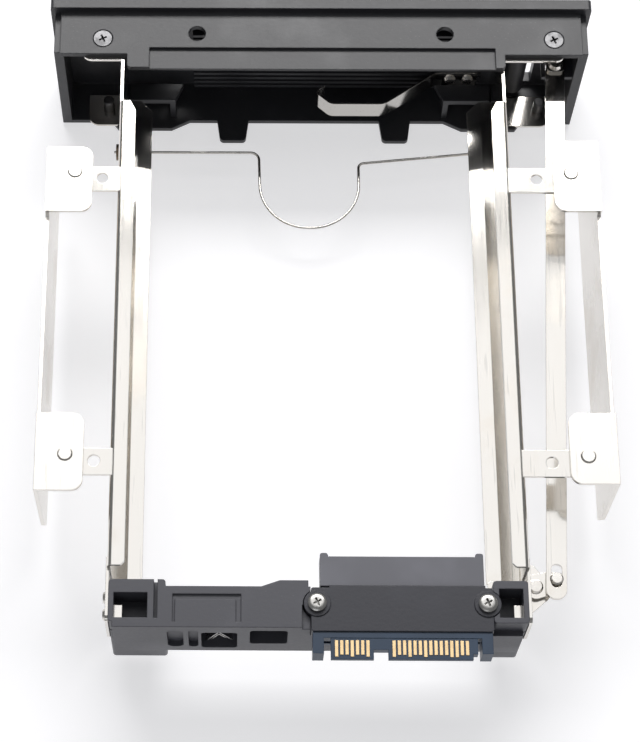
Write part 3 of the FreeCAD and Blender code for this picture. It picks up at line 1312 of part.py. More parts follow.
def make_door_panel():
    """Louvred door on an upright pin, with a cam finger that pushes the link."""
    body = new_body("door_panel")
    right = opening_right - door_gap - 0.1
    low = sill_height + door_gap
    high = roof_under - door_gap
    pad_y(body, [box_outline(-hinge_left, right, low, high)], front, door_back)
    pad_z(body, [(-hinge_left, hinge_back, knuckle_radius)], low, roof_under - sheet_thick - 0.3)
    tip_x = -hinge_left - finger_arm
    arm = [(-hinge_left, hinge_back - 1.4), (tip_x, hinge_back - 0.7, 1.3),
           (tip_x, hinge_back + 2.1, 1.3), (-hinge_left, hinge_back + 2.6)]
    pad_z(body, [arm], finger_low, finger_high)
    rib = pad_y(body, [box_outline(-rib_left, rib_right, rib_first, rib_first + rib_thick)],
                door_back - 0.2, door_back + rib_depth)
    pattern(body, rib, "Z_Axis", rib_pitch, rib_count)
    # louvres between the ribs, in bays between upright bars
    bays = 4
    bay = (rib_left + rib_right - 4) / bays
    slits = []
    for index in range(bays):
        start = -rib_left + 2 + bay * index
        slits.append(box_outline(start + bar_between / 2, start + bay - bar_between / 2,
                                 rib_first + rib_thick + 0.1, rib_first + rib_pitch - 0.1))
    cut = cut_y(body, slits, front - 1, door_back + 0.2)
    pattern(body, cut, "Z_Axis", rib_pitch, rib_count - 1)
    # place for the latch
    half = latch_height / 2 + latch_play
    cut_y(body, [box_outline(latch_left - latch_travel - latch_play, latch_right + latch_play,
                             latch_mid - half, latch_mid + half)], front - 1, door_back + 1)
    nose_half = nose_height / 2 + latch_play
    cut_y(body, [box_outline(latch_right - 1, right + 1, latch_mid - nose_half, latch_mid + nose_half)],
          back, door_back + 1)
    cut_z(body, [(-hinge_left, hinge_back, pin_radius + pin_fit)], low - 1, high + 1)
    return body


def make_hinge_pin():
    length = roof - floor - pin_short * 2
    return group("hinge_pin", [turned("hinge_pin", -hinge_left, hinge_back, floor + pin_short, (0, 0, 1),
                                      [(length, pin_radius, pin_radius)])])


def make_door_latch():
    """Thumb slide whose nose catches behind the plate beside the door."""
    body = new_body("door_latch")
    low = latch_mid - latch_height / 2
    high = latch_mid + latch_height / 2
    pad_y(body, [round_box(latch_left, latch_right, low, high, 0.6)], front + 0.1, front + 1.7)
    pad_y(body, [box_outline(latch_left + 5, latch_right, low + 0.5, high - 0.5)],
          front + 1.5, door_back + 0.3)
    plate = box_outline(latch_left + 3.5, latch_right + 2.4, low - 1.4, high + 1.4)
    pad_y(body, [plate], door_back + 0.2, door_back + 0.2 + latch_sheet)
    nose = box_outline(latch_right - 0.5, latch_nose, latch_mid - nose_height / 2,
                       latch_mid + nose_height / 2)
    pad_y(body, [nose], back + 0.3, door_back + 0.2 + latch_sheet)
    grip = [box_outline(latch_left + 3 + 1.6 * index, latch_left + 3.7 + 1.6 * index, low + 2, high - 2)
            for index in range(4)]
    cut_y(body, grip, front - 1, front + 0.6)
    return body


def make_latch_spring():
    """Small coil of square wire between the door and the back of the latch."""
    left = float(latch_left - latch_travel - latch_play) + 0.1
    right = float(latch_left) + 5 - 0.1
    half = float(coil_wire) / 2
    radius = float(coil_radius)
    length = right - left - 2 * half
    helix = Part.makeHelix(length / float(coil_turns), length, radius)
    corners = [(radius - half, -half), (radius + half, -half), (radius + half, half),
               (radius - half, half), (radius - half, -half)]
    section = Part.makePolygon([FreeCAD.Vector(x, 0, z) for x, z in corners])
    spring = document.addObject("Part::Feature", "latch_spring")
    spring.Shape = Part.Wire(helix.Edges).makePipeShell([section], True, True)
    spring.Placement = FreeCAD.Placement(
        FreeCAD.Vector(left + half, float(back) - 0.1, float(latch_mid)),
        FreeCAD.Rotation(FreeCAD.Vector(0, 0, 1), FreeCAD.Vector(1, 0, 0)))
    spring.Label = "latch_spring"
    return spring


def make_leaf_spring():
    """Bent strip on the door that presses the drive into its socket."""
    body = new_body("leaf_spring")
    base = door_back + rib_depth + leaf_thick / 2
    start = leaf_start - hinge_left
    foot = start + leaf_foot
    crown = foot + leaf_run
    crown_end = crown + leaf_crown
    hook = crown_end + leaf_hook
    crest = base + leaf_rise
    hook_y = crest - leaf_hook_drop
    path = [(start, base), (foot, base, 4.0), (crown, crest, 5.0), (crown_end, crest, 3.0),
            (hook, hook_y, 1.2), (hook - leaf_curl, hook_y - leaf_curl_drop)]
    profile = box_outline(base - leaf_thick / 2, base + leaf_thick / 2, leaf_low, leaf_low + leaf_height)
    sweep(body, "XY_Plane", leaf_low + leaf_height / 2, path, "YZ_Plane", start, [profile])
    return body


def make_leaf_screws():
    screws = []
    first = leaf_start - hinge_left + leaf_screw_first
    for x in (first, first + leaf_screw_pitch):
        steps = [(leaf_screw_rise, leaf_screw_head, leaf_screw_head - 0.4)]
        screws.append(turned("leaf_screw", x, door_back + rib_depth + leaf_thick,
                             leaf_low + leaf_height / 2, (0, 1, 0), steps))
    return group("leaf_screws", screws)


# ---------------------------------------------------------------------------
# Link and lever
# ---------------------------------------------------------------------------

def link_side(offset, y):
    """X of a line beside the link's centre line at a distance behind the plate."""
    slope = (link_front_left - link_rear_left) / (link_rear_back - link_front_back)
    return -(link_front_left - (y - link_front_back) * slope) + offset


def make_link_bar():
    """Flat strip from the door's cam plate to the eject lever."""
    body = new_body("link_bar")
    half = link_width / 2
    near = link_front_back - link_nose
    outline = [(link_side(-half, near), back + near, link_round),
               (link_side(half, near), back + near, link_round),
               (link_side(half, link_end), back + link_end, link_round),
               (link_side(-half, link_end), back + link_end, link_round)]
    pad_z(body, [outline], link_low, link_low + link_thick)
    slot_front = link_rear_back - rivet_radius - slot_run
    slot_back = link_rear_back + rivet_radius + slot_rest
    slot_half = rivet_radius + slot_play
    slot = [(link_side(-slot_half, slot_front), back + slot_front, 1.2),
            (link_side(slot_half, slot_front), back + slot_front, 1.2),
            (link_side(slot_half, slot_back), back + slot_back, 1.2),
            (link_side(-slot_half, slot_back), back + slot_back, 1.2)]
    cut_z(body, [slot], link_low - 1, link_low + link_thick + 1)
    cut_z(body, [(-link_front_left, back + link_front_back, front_rivet + pin_seat)],
          link_low - 1, link_low + link_thick + 1)
    return body


def make_cam_plate():
    """Cross piece on the link's front end that the door's finger pushes."""
    body = new_body("cam_plate")
    low = link_low + link_thick
    front_edge = back + cam_front
    rear_edge = front_edge + cam_bar
    outer = -link_front_left - link_width / 2
    outline = [(outer, front_edge, 0.8), (-cam_inner, front_edge, 0.8), (-cam_inner, rear_edge, 0.8),
               (-link_front_left + link_width / 2, rear_edge),
               (-link_front_left + link_width / 2, back + link_front_back + link_round, 1.6),
               (outer, back + link_front_back + link_round, 1.6)]
    pad_z(body, [outline], low, low + link_thick)
    hole = (-link_front_left, back + link_front_back, front_rivet + pin_seat)
    cut_z(body, [hole], low - 1, low + link_thick + 1)
    return body


def make_link_rivets():
    base = link_low
    steps = [(link_thick * 2, front_rivet, front_rivet),
             (as_size(1.0), front_rivet_head, front_rivet_head - 0.5)]
    rivet = turned("link_front_rivet", -link_front_left, back + link_front_back, base, (0, 0, 1), steps)
    return group("link_front_rivet", [rivet])


def make_eject_lever():
    """Bell crank: the link turns its outer arm, its inner arm pushes the drive off the socket."""
    body = new_body("eject_lever")
    pivot_x = -lever_left
    pivot_y = back + lever_back
    rivet_x = -link_rear_left
    rivet_y = back + link_rear_back
    half = lever_arm / 2
    outline = [(rivet_x - 2.2, rivet_y - 2.2, 2.0), (rivet_x + 2.6, rivet_y - 2.2, 2.0),
               (pivot_x + lever_hub, pivot_y - lever_hub, 2.0),
               (pivot_x + lever_hub + 0.6, pivot_y - half),
               (-lever_tip, pivot_y - half, 1.2), (-lever_tip, pivot_y + half, 1.2),
               (pivot_x + lever_hub, pivot_y + half), (pivot_x + 0.4, pivot_y + lever_hub + 0.6, 2.2),
               (rivet_x - 2.2, rivet_y + 2.6, 2.0)]
    pad_z(body, [outline], lever_low, lever_low + lever_thick)
    cut_z(body, [(pivot_x, pivot_y, pivot_radius + pin_fit)], lever_low - 1, lever_low + lever_thick + 1)
    return body


def make_lever_pivot():
    base = lever_low - lever_gap - sheet_thick
    length = sheet_thick + lever_gap + lever_thick + head_gap
    steps = [(length, pivot_radius, pivot_radius), (head_rise, pivot_head, pivot_head - 0.4)]
    upper = turned("lever_pivot_upper", -lever_left, back + lever_back, base, (0, 0, 1), steps)
    lower_head = turned("lever_pivot_lower", -lever_left, back + lever_back, base, (0, 0, -1),
                        [(as_size(0.8), pivot_head, pivot_head - 0.3)])
    pivot = document.addObject("Part::MultiFuse", "lever_pivot")
    pivot.Shapes = [upper, lower_head]
    pivot.Label = "lever_pivot"
    return pivot


def make_link_rear_rivet():
    base = lever_low + lever_thick
    gap = link_low - base + link_thick + head_gap
    steps = [(gap, rivet_radius, rivet_radius), (head_rise, rivet_head, rivet_head - 0.4)]
    return group("link_rear_rivet", [turned("link_rear_rivet", -link_rear_left, back + link_rear_back,
                                            base, (0, 0, 1), steps)])


# ---------------------------------------------------------------------------
# Wire bail
# ---------------------------------------------------------------------------

def make_wire_bail():
    """One bent wire across the rails with a loop that reaches back."""
    body = new_body("wire_bail")
    start = web_outer(RIGHT) + bushing_length + wire_past
    end = web_outer(LEFT) - bushing_length - wire_past
    left = slot_offset - loop_width / 2
    right = slot_offset + loop_width / 2
    loop_radius = loop_width / 2 - loop_round
    path = [(start, back + wire_back), (right + 0.6, back + wire_back, 2.4),
            (right, back + loop_reach, loop_radius), (left, back + loop_reach, loop_radius),
            (left, back + wire_back + wire_slope, 1.6), (wire_bend - rail_left, back + wire_back, 6.0),
            (end, back + wire_back)]
    sweep(body, "XY_Plane", wire_height, path, "YZ_Plane", start,
          [(back + wire_back, wire_height, wire_radius)])
    return body


def make_wire_bushings():
    bushings = []
    for side in (RIGHT, LEFT):
        x = web_outer(side)
        outer = turned("bushing_flange", x, back + wire_back, wire_height, (side, 0, 0),
                       [(bushing_length, bushing_radius, bushing_radius)])
        neck = turned("bushing_neck", x, back + wire_back, wire_height, (-side, 0, 0),
                      [(sheet_thick + 0.2, bushing_radius - 0.82, bushing_radius - 0.82)])
        solid = document.addObject("Part::MultiFuse", "bushing_solid")
        solid.Shapes = [outer, neck]
        bore = turned("bushing_bore", x - side * 3, back + wire_back, wire_height, (side, 0, 0),
                      [(bushing_length + 6, wire_radius + pin_fit, wire_radius + pin_fit)])
        bushings.append(drill(solid, bore, "bushing_" + ("right" if side == RIGHT else "left")))
    return group("wire_bushings", bushings)


# ---------------------------------------------------------------------------
# Build, check and write
# ---------------------------------------------------------------------------

nodes = [
    make_bezel_frame(), make_rail_screws(), make_hinge_pin(),
    make_rail(RIGHT, "right_rail"), make_rail(LEFT, "left_rail"),
    make_side_plate(RIGHT, "right_side_plate"), make_side_plate(LEFT, "left_side_plate"),
    make_side_rivets(), make_crossbar(), make_crossbar_rivets(),
    make_adapter_cover(), make_adapter_board(), make_adapter_screws(), make_drive_socket(),
    make_plug_housing(), make_contacts("signal_contacts", False, signal_count),
    make_contacts("power_contacts", True, power_count),
    make_door_panel(), make_door_latch(), make_latch_spring(), make_leaf_spring(), make_leaf_screws(),
    make_link_bar(), make_cam_plate(), make_link_rivets(), make_eject_lever(), make_lever_pivot(),
    make_link_rear_rivet(), make_wire_bail(), make_wire_bushings(),
]

document.recompute()

for item in document.Objects:
    if "Invalid" in item.State or "Error" in item.State:
        raise RuntimeError(f"{item.Label} failed: {item.State}")
    if item.TypeId == "PartDesign::Pocket":
        before = item.BaseFeature.Shape.Volume
        if item.Shape.Volume > before - 1e-3:
            raise RuntimeError(f"{item.Label} cuts nothing")

for node in nodes:
    if node.Shape.isNull() or not node.Shape.isValid() or node.Shape.Volume <= 0:
        raise RuntimeError(f"{node.Label} has no valid shape")

os.makedirs("parts", exist_ok=True)
for node in nodes:
    node.Shape.exportStep(f"parts/{node.Label}.step")
print(len(nodes), "nodes written")
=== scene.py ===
"""Looks for a hot swap drive cage: finishes for its pieces, detailed fasteners, camera and studio."""

import math

import bpy
import bmesh
from mathutils import Euler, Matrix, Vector


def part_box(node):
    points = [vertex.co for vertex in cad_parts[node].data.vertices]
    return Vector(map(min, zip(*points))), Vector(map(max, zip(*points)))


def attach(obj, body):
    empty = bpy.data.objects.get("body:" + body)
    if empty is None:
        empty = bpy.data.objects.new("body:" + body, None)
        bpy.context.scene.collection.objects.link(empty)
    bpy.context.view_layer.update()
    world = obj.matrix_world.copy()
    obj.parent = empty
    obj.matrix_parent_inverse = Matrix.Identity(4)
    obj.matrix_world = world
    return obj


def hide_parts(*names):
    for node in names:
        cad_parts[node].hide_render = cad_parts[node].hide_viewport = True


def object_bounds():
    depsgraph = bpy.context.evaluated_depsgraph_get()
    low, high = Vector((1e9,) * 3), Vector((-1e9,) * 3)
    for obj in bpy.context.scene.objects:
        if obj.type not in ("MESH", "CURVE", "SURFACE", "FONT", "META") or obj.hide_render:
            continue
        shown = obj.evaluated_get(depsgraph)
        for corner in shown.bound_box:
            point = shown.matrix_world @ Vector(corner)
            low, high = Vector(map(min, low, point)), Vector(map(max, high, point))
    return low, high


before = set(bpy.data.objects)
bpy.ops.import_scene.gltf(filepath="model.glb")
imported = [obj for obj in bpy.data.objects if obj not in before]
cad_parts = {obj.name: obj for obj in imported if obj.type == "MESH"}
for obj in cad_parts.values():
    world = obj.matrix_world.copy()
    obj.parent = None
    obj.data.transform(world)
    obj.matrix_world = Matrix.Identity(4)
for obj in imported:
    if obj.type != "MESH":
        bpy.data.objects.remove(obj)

cad_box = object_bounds()

bl_info = {
    "name": "Drive cage",
    "version": (1, 0, 0),
    "blender": (4, 5, 0),
    "location": "View3D > Sidebar > Drive cage",
    "description": "Finishes, fasteners and studio for a hot swap drive cage",
    "category": "Add Mesh",
}

MM = 0.001

# Cross recess, dome and shank of a screw, as shares of the head's or the shank's radius. A
# dome ring has its inner and outer limits, and its drop as a share of the head's height.
RECESS_TURN = math.radians(24)
RECESS_TAPER = (0.45, 0.6, 1.0)
RECESS_REACH = 0.62
DOME_INSETS = (0.16, 0.22)
DOME_RINGS = ((0.9, 1.1, 0.34), (0.75, 0.9, 0.10))
SHANK_TIP = 0.25
SHANK_POINT = 0.2
SMOOTH_DEGREES = 32

# Screws of the adapter cover.
COVER_HEAD_RADIUS = 2.3 * MM
COVER_HEAD_HEIGHT = 1.3 * MM
COVER_SHANK_RADIUS = 1.3 * MM
COVER_TIP_RISE = 0.3 * MM

# Countersunk screws of the housing.
HOUSING_HEAD_INSET = 2.7 * MM
HOUSING_HEAD_RADIUS = 2.5 * MM
HOUSING_HEAD_HEIGHT = 1.2 * MM
HOUSING_SHANK_RADIUS = 1.5 * MM
HOUSING_SHANK_LENGTH = 6.0 * MM

# Spring clip in the crossbar's window: its place from the crossbar's box, and its V.
CLIP_FROM_RIGHT = 23.9 * MM
CLIP_FROM_BACK = 3.6 * MM
CLIP_RISE = 13.2 * MM
CLIP_HALF = 3.2 * MM
CLIP_HEIGHT = 7.2 * MM
CLIP_STEP = 1.2 * MM
CLIP_DEPTH = 2.2 * MM
CLIP_NEST = 1.5 * MM

# Contacts of the drive socket.
CONTACT_PITCH = 1.27 * MM
CONTACT_COUNTS = (("signal_contacts", 7), ("power_contacts", 15))
CONTACT_SIDE = 0.4 * MM
CONTACT_RISE = 1.25 * MM
CONTACT_SETBACK = 1.6 * MM
LEAF_SIZE = (0.6 * MM, 4.0 * MM, 0.2 * MM)
LEAF_MIDDLE = 2.4 * MM
LEAF_BENDS = ((-0.4 * MM, -0.35 * MM), (-0.5 * MM, 0.25 * MM))

# Floor, lamps and camera. A lamp has its place, its target, its size, its share of the
# key light's power, and its colour.
FLOOR_SIZE = 6.0
FLOOR_PAINT = (0.80, 0.80, 0.82)
FLOOR_GLOW = (0.985, 0.985, 1.0)
FLOOR_GLOW_STRENGTH = 2.0
FLOOR_GLOW_SHARE = 0.30
SKY_COLOUR = (0.98, 0.99, 1.0)
BACKDROP_COLOUR = (1.0, 1.0, 1.0)
LAMPS = (
    ("key_light", (0.0, -0.835, 0.973), (0.0, -0.08, 0.04), (1.1, 0.42), 1.0, (1.0, 0.99, 0.98)),
    ("top_light", (0.0, -0.33, 1.19), (0.0, 0.0, 0.04), (1.0, 0.5), 0.11, (0.99, 0.99, 1.0)),
    ("rear_light", (0.25, 1.0, 0.75), (0.0, 0.05, 0.03), (0.8, 0.4), 0.07, (0.95, 0.97, 1.0)),
)
CAMERA_PLACE = (0.022756, 0.247408, 0.565613)
CAMERA_TURN = (23.4778, 0.2355, -179.6095)
CAMERA_SHIFT = (0.13326, 0.0075)
CAMERA_CLIP = (0.01, 20.0)


# ---------------------------------------------------------------------------
# Shader maths
# ---------------------------------------------------------------------------

class Wire:
    """A socket, or a number, that takes part in Python expressions and adds Math nodes."""

    def __init__(self, finish, socket):
        self.finish = finish
        self.socket = socket

    def math(self, operation, *values):
        return self.finish.add("ShaderNodeMath", {"operation": operation},
                               dict(enumerate(values)))

    def __add__(self, other):
        return self.math("ADD", self, other)

    def __radd__(self, other):
        return self.math("ADD", other, self)

    def __sub__(self, other):
        return self.math("SUBTRACT", self, other)

    def __rsub__(self, other):
        return self.math("SUBTRACT", other, self)

    def __mul__(self, other):
        return self.math("MULTIPLY", self, other)

    def __rmul__(self, other):
        return self.math("MULTIPLY", other, self)

    def clamped(self):
        return self.math("MINIMUM", self.math("MAXIMUM", self, 0.0), 1.0)

    def smoothed(self, low, high):
        """0 below low, 1 above high, smooth between them."""
        return self.finish.add("ShaderNodeMapRange", {"interpolation_type": "SMOOTHSTEP"},
                               {"Value": self, "From Min": low, "From Max": high})


class Finish:
    """The nodes of a new material, or of the world, written as expressions."""

    def __init__(self, name, world=None):
        self.owner = world or bpy.data.materials.new(name)
        self.owner.use_nodes = True
        self.tree = self.owner.node_tree
        self.tree.nodes.clear()
        kind = "ShaderNodeOutputWorld" if world else "ShaderNodeOutputMaterial"
        self.output = self.tree.nodes.new(kind)

    def plug(self, node, name, value):
        socket = node.inputs[name]
        if isinstance(value, Wire):
            self.tree.links.new(value.socket, socket)
        elif isinstance(value, (tuple, list)) and len(value) == 3 and socket.type == "RGBA":
            socket.default_value = (*value, 1.0)
        else:
            socket.default_value = value

    def add(self, kind, settings=None, inputs=None, out=0):
        """Add a node: its settings first, then its sockets' values or links."""
        node = self.tree.nodes.new(kind)
        for name, value in (settings or {}).items():
            if name == "stops":
                ramp = node.color_ramp
                for index, (place, colour) in enumerate(value):
                    stop = ramp.elements[index] if index < 2 else ramp.elements.new(place)
                    stop.position = place
                    stop.color = (*colour, 1.0)
            else:
                setattr(node, name, value)
        for name, value in (inputs or {}).items():
            self.plug(node, name, value)
        return Wire(self, node.outputs[out])

    def place(self):
        return self.add("ShaderNodeTexCoord", out="Object")

    def along(self, x, y, z):
        """Object coordinates stretched along the axes, for a drawn or rolled grain."""
        return self.add("ShaderNodeMapping", {}, {"Vector": self.place(), "Scale": (x, y, z)})

    def noise(self, scale, detail=3.0, rough=0.5, where=None):
        return self.add("ShaderNodeTexNoise", {},
                        {"Vector": where or self.place(), "Scale": scale, "Detail": detail,
                         "Roughness": rough}, out="Fac")

    def cells(self, scale, where=None):
        return self.add("ShaderNodeTexVoronoi", {"feature": "F1"},
                        {"Vector": where or self.place(), "Scale": scale}, out="Distance")

    def blend(self, factor, first, second):
        node = self.tree.nodes.new("ShaderNodeMix")
        node.data_type = "RGBA"
        self.plug(node, 0, factor)
        for index, value in ((6, first), (7, second)):
            self.plug(node, index, value)
        return Wire(self, node.outputs[2])

    def edge(self, radius):
        """A normal that rounds hard edges, for the small radius that every real edge has."""
        return self.add("ShaderNodeBevel", {"samples": 4}, {"Radius": radius})

    def bump(self, height, strength, distance, normal=None):
        inputs = {"Height": height, "Strength": strength, "Distance": distance}
        if normal is not None:
            inputs["Normal"] = normal
        return self.add("ShaderNodeBump", {}, inputs)

    def surface(self, **inputs):
        """Close the material with a Principled shader; underscores stand for spaces."""
        sockets = {name.replace("_", " "): value for name, value in inputs.items()}
        return self.close(self.add("ShaderNodeBsdfPrincipled", {}, sockets))

    def close(self, shader):
        """Link a shader to the output and give back the finished material or world."""
        self.plug(self.output, "Surface", shader)
        return self.owner

    def ray(self, kind):
        """1 for one kind of ray, such as Is Camera Ray, and 0 for the others."""
        return self.add("ShaderNodeLightPath", out=kind)

    def mix(self, factor, first, second):
        """Mix two shaders."""
        return self.add("ShaderNodeMixShader", {}, {0: factor, 1: first, 2: second})


# ---------------------------------------------------------------------------
# Sizes and colours a user may change
# ---------------------------------------------------------------------------

class PlasticSettings(bpy.types.PropertyGroup):
    body_colour: bpy.props.FloatVectorProperty(
        name="Body colour", description="Colour of the bezel, door and crossbar",
        subtype="COLOR", size=3, min=0.0, max=1.0, default=(0.034, 0.035, 0.040))
    # Crossbar colour: the black body plastic lightened to grey as painted sheen. It stands in for the
    # highlight that the key light does not give the crossbar's top.
    bar_sheen_colour: bpy.props.FloatVectorProperty(
        name="Crossbar colour and painted sheen", description="Colour of the crossbar, lightened as painted sheen",
        subtype="COLOR", size=3, min=0.0, max=1.0, default=(0.08, 0.081, 0.096))
    cover_colour: bpy.props.FloatVectorProperty(
        name="Cover colour", description="Colour of the adapter cover",
        subtype="COLOR", size=3, min=0.0, max=1.0, default=(0.034, 0.035, 0.046))
    grain: bpy.props.FloatProperty(
        name="Grain", description="Size of the fine moulded grain",
        subtype="DISTANCE", unit="LENGTH", default=0.00035, min=0.0001, max=0.002)
    roughness: bpy.props.FloatProperty(
        name="Roughness", description="Roughness of the moulded faces",
        default=0.42, min=0.1, max=0.9)


class SheetSettings(bpy.types.PropertyGroup):
    colour: bpy.props.FloatVectorProperty(
        name="Plating", description="Colour of the nickel plating",
        subtype="COLOR", size=3, min=0.0, max=1.0, default=(0.79, 0.765, 0.725))
    roughness: bpy.props.FloatProperty(
        name="Roughness", description="Roughness of the plated sheet",
        default=0.13, min=0.05, max=0.6)
    streak: bpy.props.FloatProperty(
        name="Streaks", description="How strongly the rolled grain shows",
        default=0.5, min=0.0, max=1.0)


class ConnectorSettings(bpy.types.PropertyGroup):
    plug_colour: bpy.props.FloatVectorProperty(
        name="Plug colour", description="Colour of the plug that takes the cable",
        subtype="COLOR", size=3, min=0.0, max=1.0, default=(0.022, 0.045, 0.085))
    socket_colour: bpy.props.FloatVectorProperty(
        name="Socket colour", description="Colour of the receptacle for the drive",
        subtype="COLOR", size=3, min=0.0, max=1.0, default=(0.14, 0.142, 0.165))
    gold_colour: bpy.props.FloatVectorProperty(
        name="Contact colour", description="Colour of the plated contacts",
        subtype="COLOR", size=3, min=0.0, max=1.0, default=(0.92, 0.68, 0.38))


class FastenerSettings(bpy.types.PropertyGroup):
    slot_width: bpy.props.FloatProperty(
        name="Recess width", description="Width of the cross recess in the screw heads",
        subtype="DISTANCE", unit="LENGTH", default=0.00065, min=0.0003, max=0.0015)
    slot_depth: bpy.props.FloatProperty(
        name="Recess depth", description="Depth of the cross recess in the screw heads",
        subtype="DISTANCE", unit="LENGTH", default=0.0011, min=0.0004, max=0.002)
    clip_sheet: bpy.props.FloatProperty(
        name="Clip thickness", description="Thickness of the spring clip in the crossbar",
        subtype="DISTANCE", unit="LENGTH", default=0.0004, min=0.0002, max=0.001)


class StudioSettings(bpy.types.PropertyGroup):
    lens: bpy.props.FloatProperty(
        name="Lens", description="Focal length of the camera, in millimetres",
        default=109.423, min=20.0, max=300.0)
    key_power: bpy.props.FloatProperty(
        name="Key light", description="Power of the large soft light",
        unit="POWER", default=14.0, min=0.0, max=100.0)
    sky: bpy.props.FloatProperty(
        name="Fill", description="Level of the light from all round",
        default=0.18, min=0.0, max=2.0)


# ---------------------------------------------------------------------------
# Finishes
# ---------------------------------------------------------------------------

def moulded_plastic(name, colour, roughness, grain):
    """Matt moulded plastic with a fine grain and a few rubbed places."""
    finish = Finish(name)
    fine = finish.noise(scale=0.35 / grain, detail=2.0, rough=0.6)
    broad = finish.noise(scale=28.0, detail=3.0, rough=0.55)
    rubbed = broad.smoothed(low=0.52, high=0.72)
    specks = finish.cells(scale=900.0).smoothed(low=0.16, high=0.05)
    dust = specks * finish.noise(scale=60.0).smoothed(low=0.5, high=0.62)
    light = tuple(min(1.0, part * 1.6 + 0.004) for part in colour)
    tone = finish.blend(rubbed * 0.6, tuple(colour), light)
    tone = finish.blend(dust * 0.14, tone, (0.32, 0.32, 0.33))
    rough = (fine - 0.5) * 0.10 + rubbed * -0.07 + roughness
    shape = finish.bump(fine, strength=0.22, distance=grain * 0.3, normal=finish.edge(0.35 * MM))
    return finish.surface(Base_Color=tone, Roughness=rough.clamped(), Normal=shape)


def plated_sheet(name, colour, roughness, streak, grain_axis):
    """Nickel plated steel sheet with a faint rolled grain and tarnished patches."""
    finish = Finish(name)
    stretch = [1.0, 1.0, 1.0]
    stretch["xyz".index(grain_axis)] = 0.02
    grain = finish.noise(scale=2600.0, detail=3.0, rough=0.6, where=finish.along(*stretch))
    patch = finish.noise(scale=34.0, detail=4.0, rough=0.6)
    tarnish = patch.smoothed(low=0.5, high=0.72)
    lines = finish.noise(scale=1500.0, detail=1.0, rough=0.4, where=finish.along(1.0, 0.05, 0.6))
    scratch = lines.smoothed(low=0.66, high=0.72)
    warm = (colour[0] * 0.80, colour[1] * 0.735, colour[2] * 0.645)
    tone = finish.blend(tarnish * 0.35, tuple(colour), warm)
    tone = finish.blend(scratch * 0.25, tone, tuple(part * 0.62 for part in colour))
    rough = (grain - 0.5) * 0.16 * streak + tarnish * 0.06 + roughness
    shape = finish.bump(grain, strength=0.10 * streak, distance=0.03 * MM,
                        normal=finish.edge(0.18 * MM))
    return finish.surface(Base_Color=tone, Metallic=1.0, Roughness=rough.clamped(), Normal=shape)


def plated_fastener(name, colour, roughness):
    """Plated screws and rivets with slightly dull, handled faces."""
    finish = Finish(name)
    fine = finish.noise(scale=2200.0, detail=3.0, rough=0.6)
    patch = finish.noise(scale=420.0, detail=2.0, rough=0.5).smoothed(low=0.45, high=0.7)
    dull = tuple(part * 0.66 for part in colour)
    tone = finish.blend(patch * 0.45, tuple(colour), dull)
    rough = (fine - 0.5) * 0.18 + patch * 0.10 + roughness
    shape = finish.bump(fine, strength=0.16, distance=0.04 * MM, normal=finish.edge(0.1 * MM))
    return finish.surface(Base_Color=tone, Metallic=1.0, Roughness=rough.clamped(), Normal=shape)


def connector_plastic(name, colour, roughness):
    """Dense connector plastic, smoother than the moulded body."""
    finish = Finish(name)
    fine = finish.noise(scale=1800.0, detail=2.0, rough=0.5)
    broad = finish.noise(scale=90.0, detail=2.0, rough=0.5).smoothed(low=0.4, high=0.7)
    light = tuple(min(1.0, part * 1.35) for part in colour)
    tone = finish.blend(broad * 0.5, tuple(colour), light)
    rough = (fine - 0.5) * 0.12 + roughness
    shape = finish.bump(fine, strength=0.12, distance=0.04 * MM, normal=finish.edge(0.2 * MM))
    return finish.surface(Base_Color=tone, Roughness=rough.clamped(), Normal=shape)


def circuit_board(name):
    """Green solder resist with faint tracks under it."""
    finish = Finish(name)
    tracks = finish.add("ShaderNodeTexWave", {"wave_type": "BANDS", "bands_direction": "X"},
                        {"Vector": finish.place(), "Scale": 260.0, "Distortion": 1.5}, out="Fac")
    edge = tracks.smoothed(low=0.55, high=0.75)
    tone = finish.blend(edge, (0.012, 0.055, 0.028), (0.02, 0.10, 0.05))
    shape = finish.bump(edge, strength=0.2, distance=0.05 * MM, normal=finish.edge(0.1 * MM))
    return finish.surface(Base_Color=tone, Roughness=0.3, Normal=shape)


def dress(material, *nodes):
    """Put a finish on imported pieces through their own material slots."""
    for node in nodes:
        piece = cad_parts[node]
        if not piece.material_slots:
            piece.data.materials.append(material)
        for slot in piece.material_slots:
            slot.material = material


# ---------------------------------------------------------------------------
# Modelling helpers
# ---------------------------------------------------------------------------

def deselect_all():
    if bpy.context.object and bpy.context.object.mode != "OBJECT":
        bpy.ops.object.mode_set(mode="OBJECT")
    bpy.ops.object.select_all(action="DESELECT")


def pick_faces(piece, wanted):
    """Select, in edit mode, the faces for which wanted(centre, normal) is true."""
    shape = bmesh.from_edit_mesh(piece.data)
    for part in (*shape.verts, *shape.edges, *shape.faces):
        part.select = False
    shape.select_mode = {"FACE"}
    for face in shape.faces:
        if wanted(face.calc_center_median(), face.normal):
            face.select = True
    shape.select_flush_mode()
    bmesh.update_edit_mesh(piece.data)


def pick_verts(piece, wanted):
    """Select, in edit mode, the vertices for which wanted(place) is true."""
    shape = bmesh.from_edit_mesh(piece.data)
    for part in (*shape.verts, *shape.edges, *shape.faces):
        part.select = False
    shape.select_mode = {"VERT"}
    for vert in shape.verts:
        vert.select = wanted(vert.co)
    shape.select_flush_mode()
    bmesh.update_edit_mesh(piece.data)


def settle(piece, name, material):
    """Name a finished piece, put its place into its mesh and close its seams."""
    piece.name = name
    piece.data.name = name
    bpy.ops.object.transform_apply(location=True, rotation=True, scale=True)
    bpy.ops.object.mode_set(mode="EDIT")
    bpy.ops.mesh.select_all(action="SELECT")
    bpy.ops.mesh.remove_doubles(threshold=0.000002)
    bpy.ops.mesh.normals_make_consistent(inside=False)
    bpy.ops.object.mode_set(mode="OBJECT")
    piece.data.materials.clear()
    piece.data.materials.append(material)
    return piece


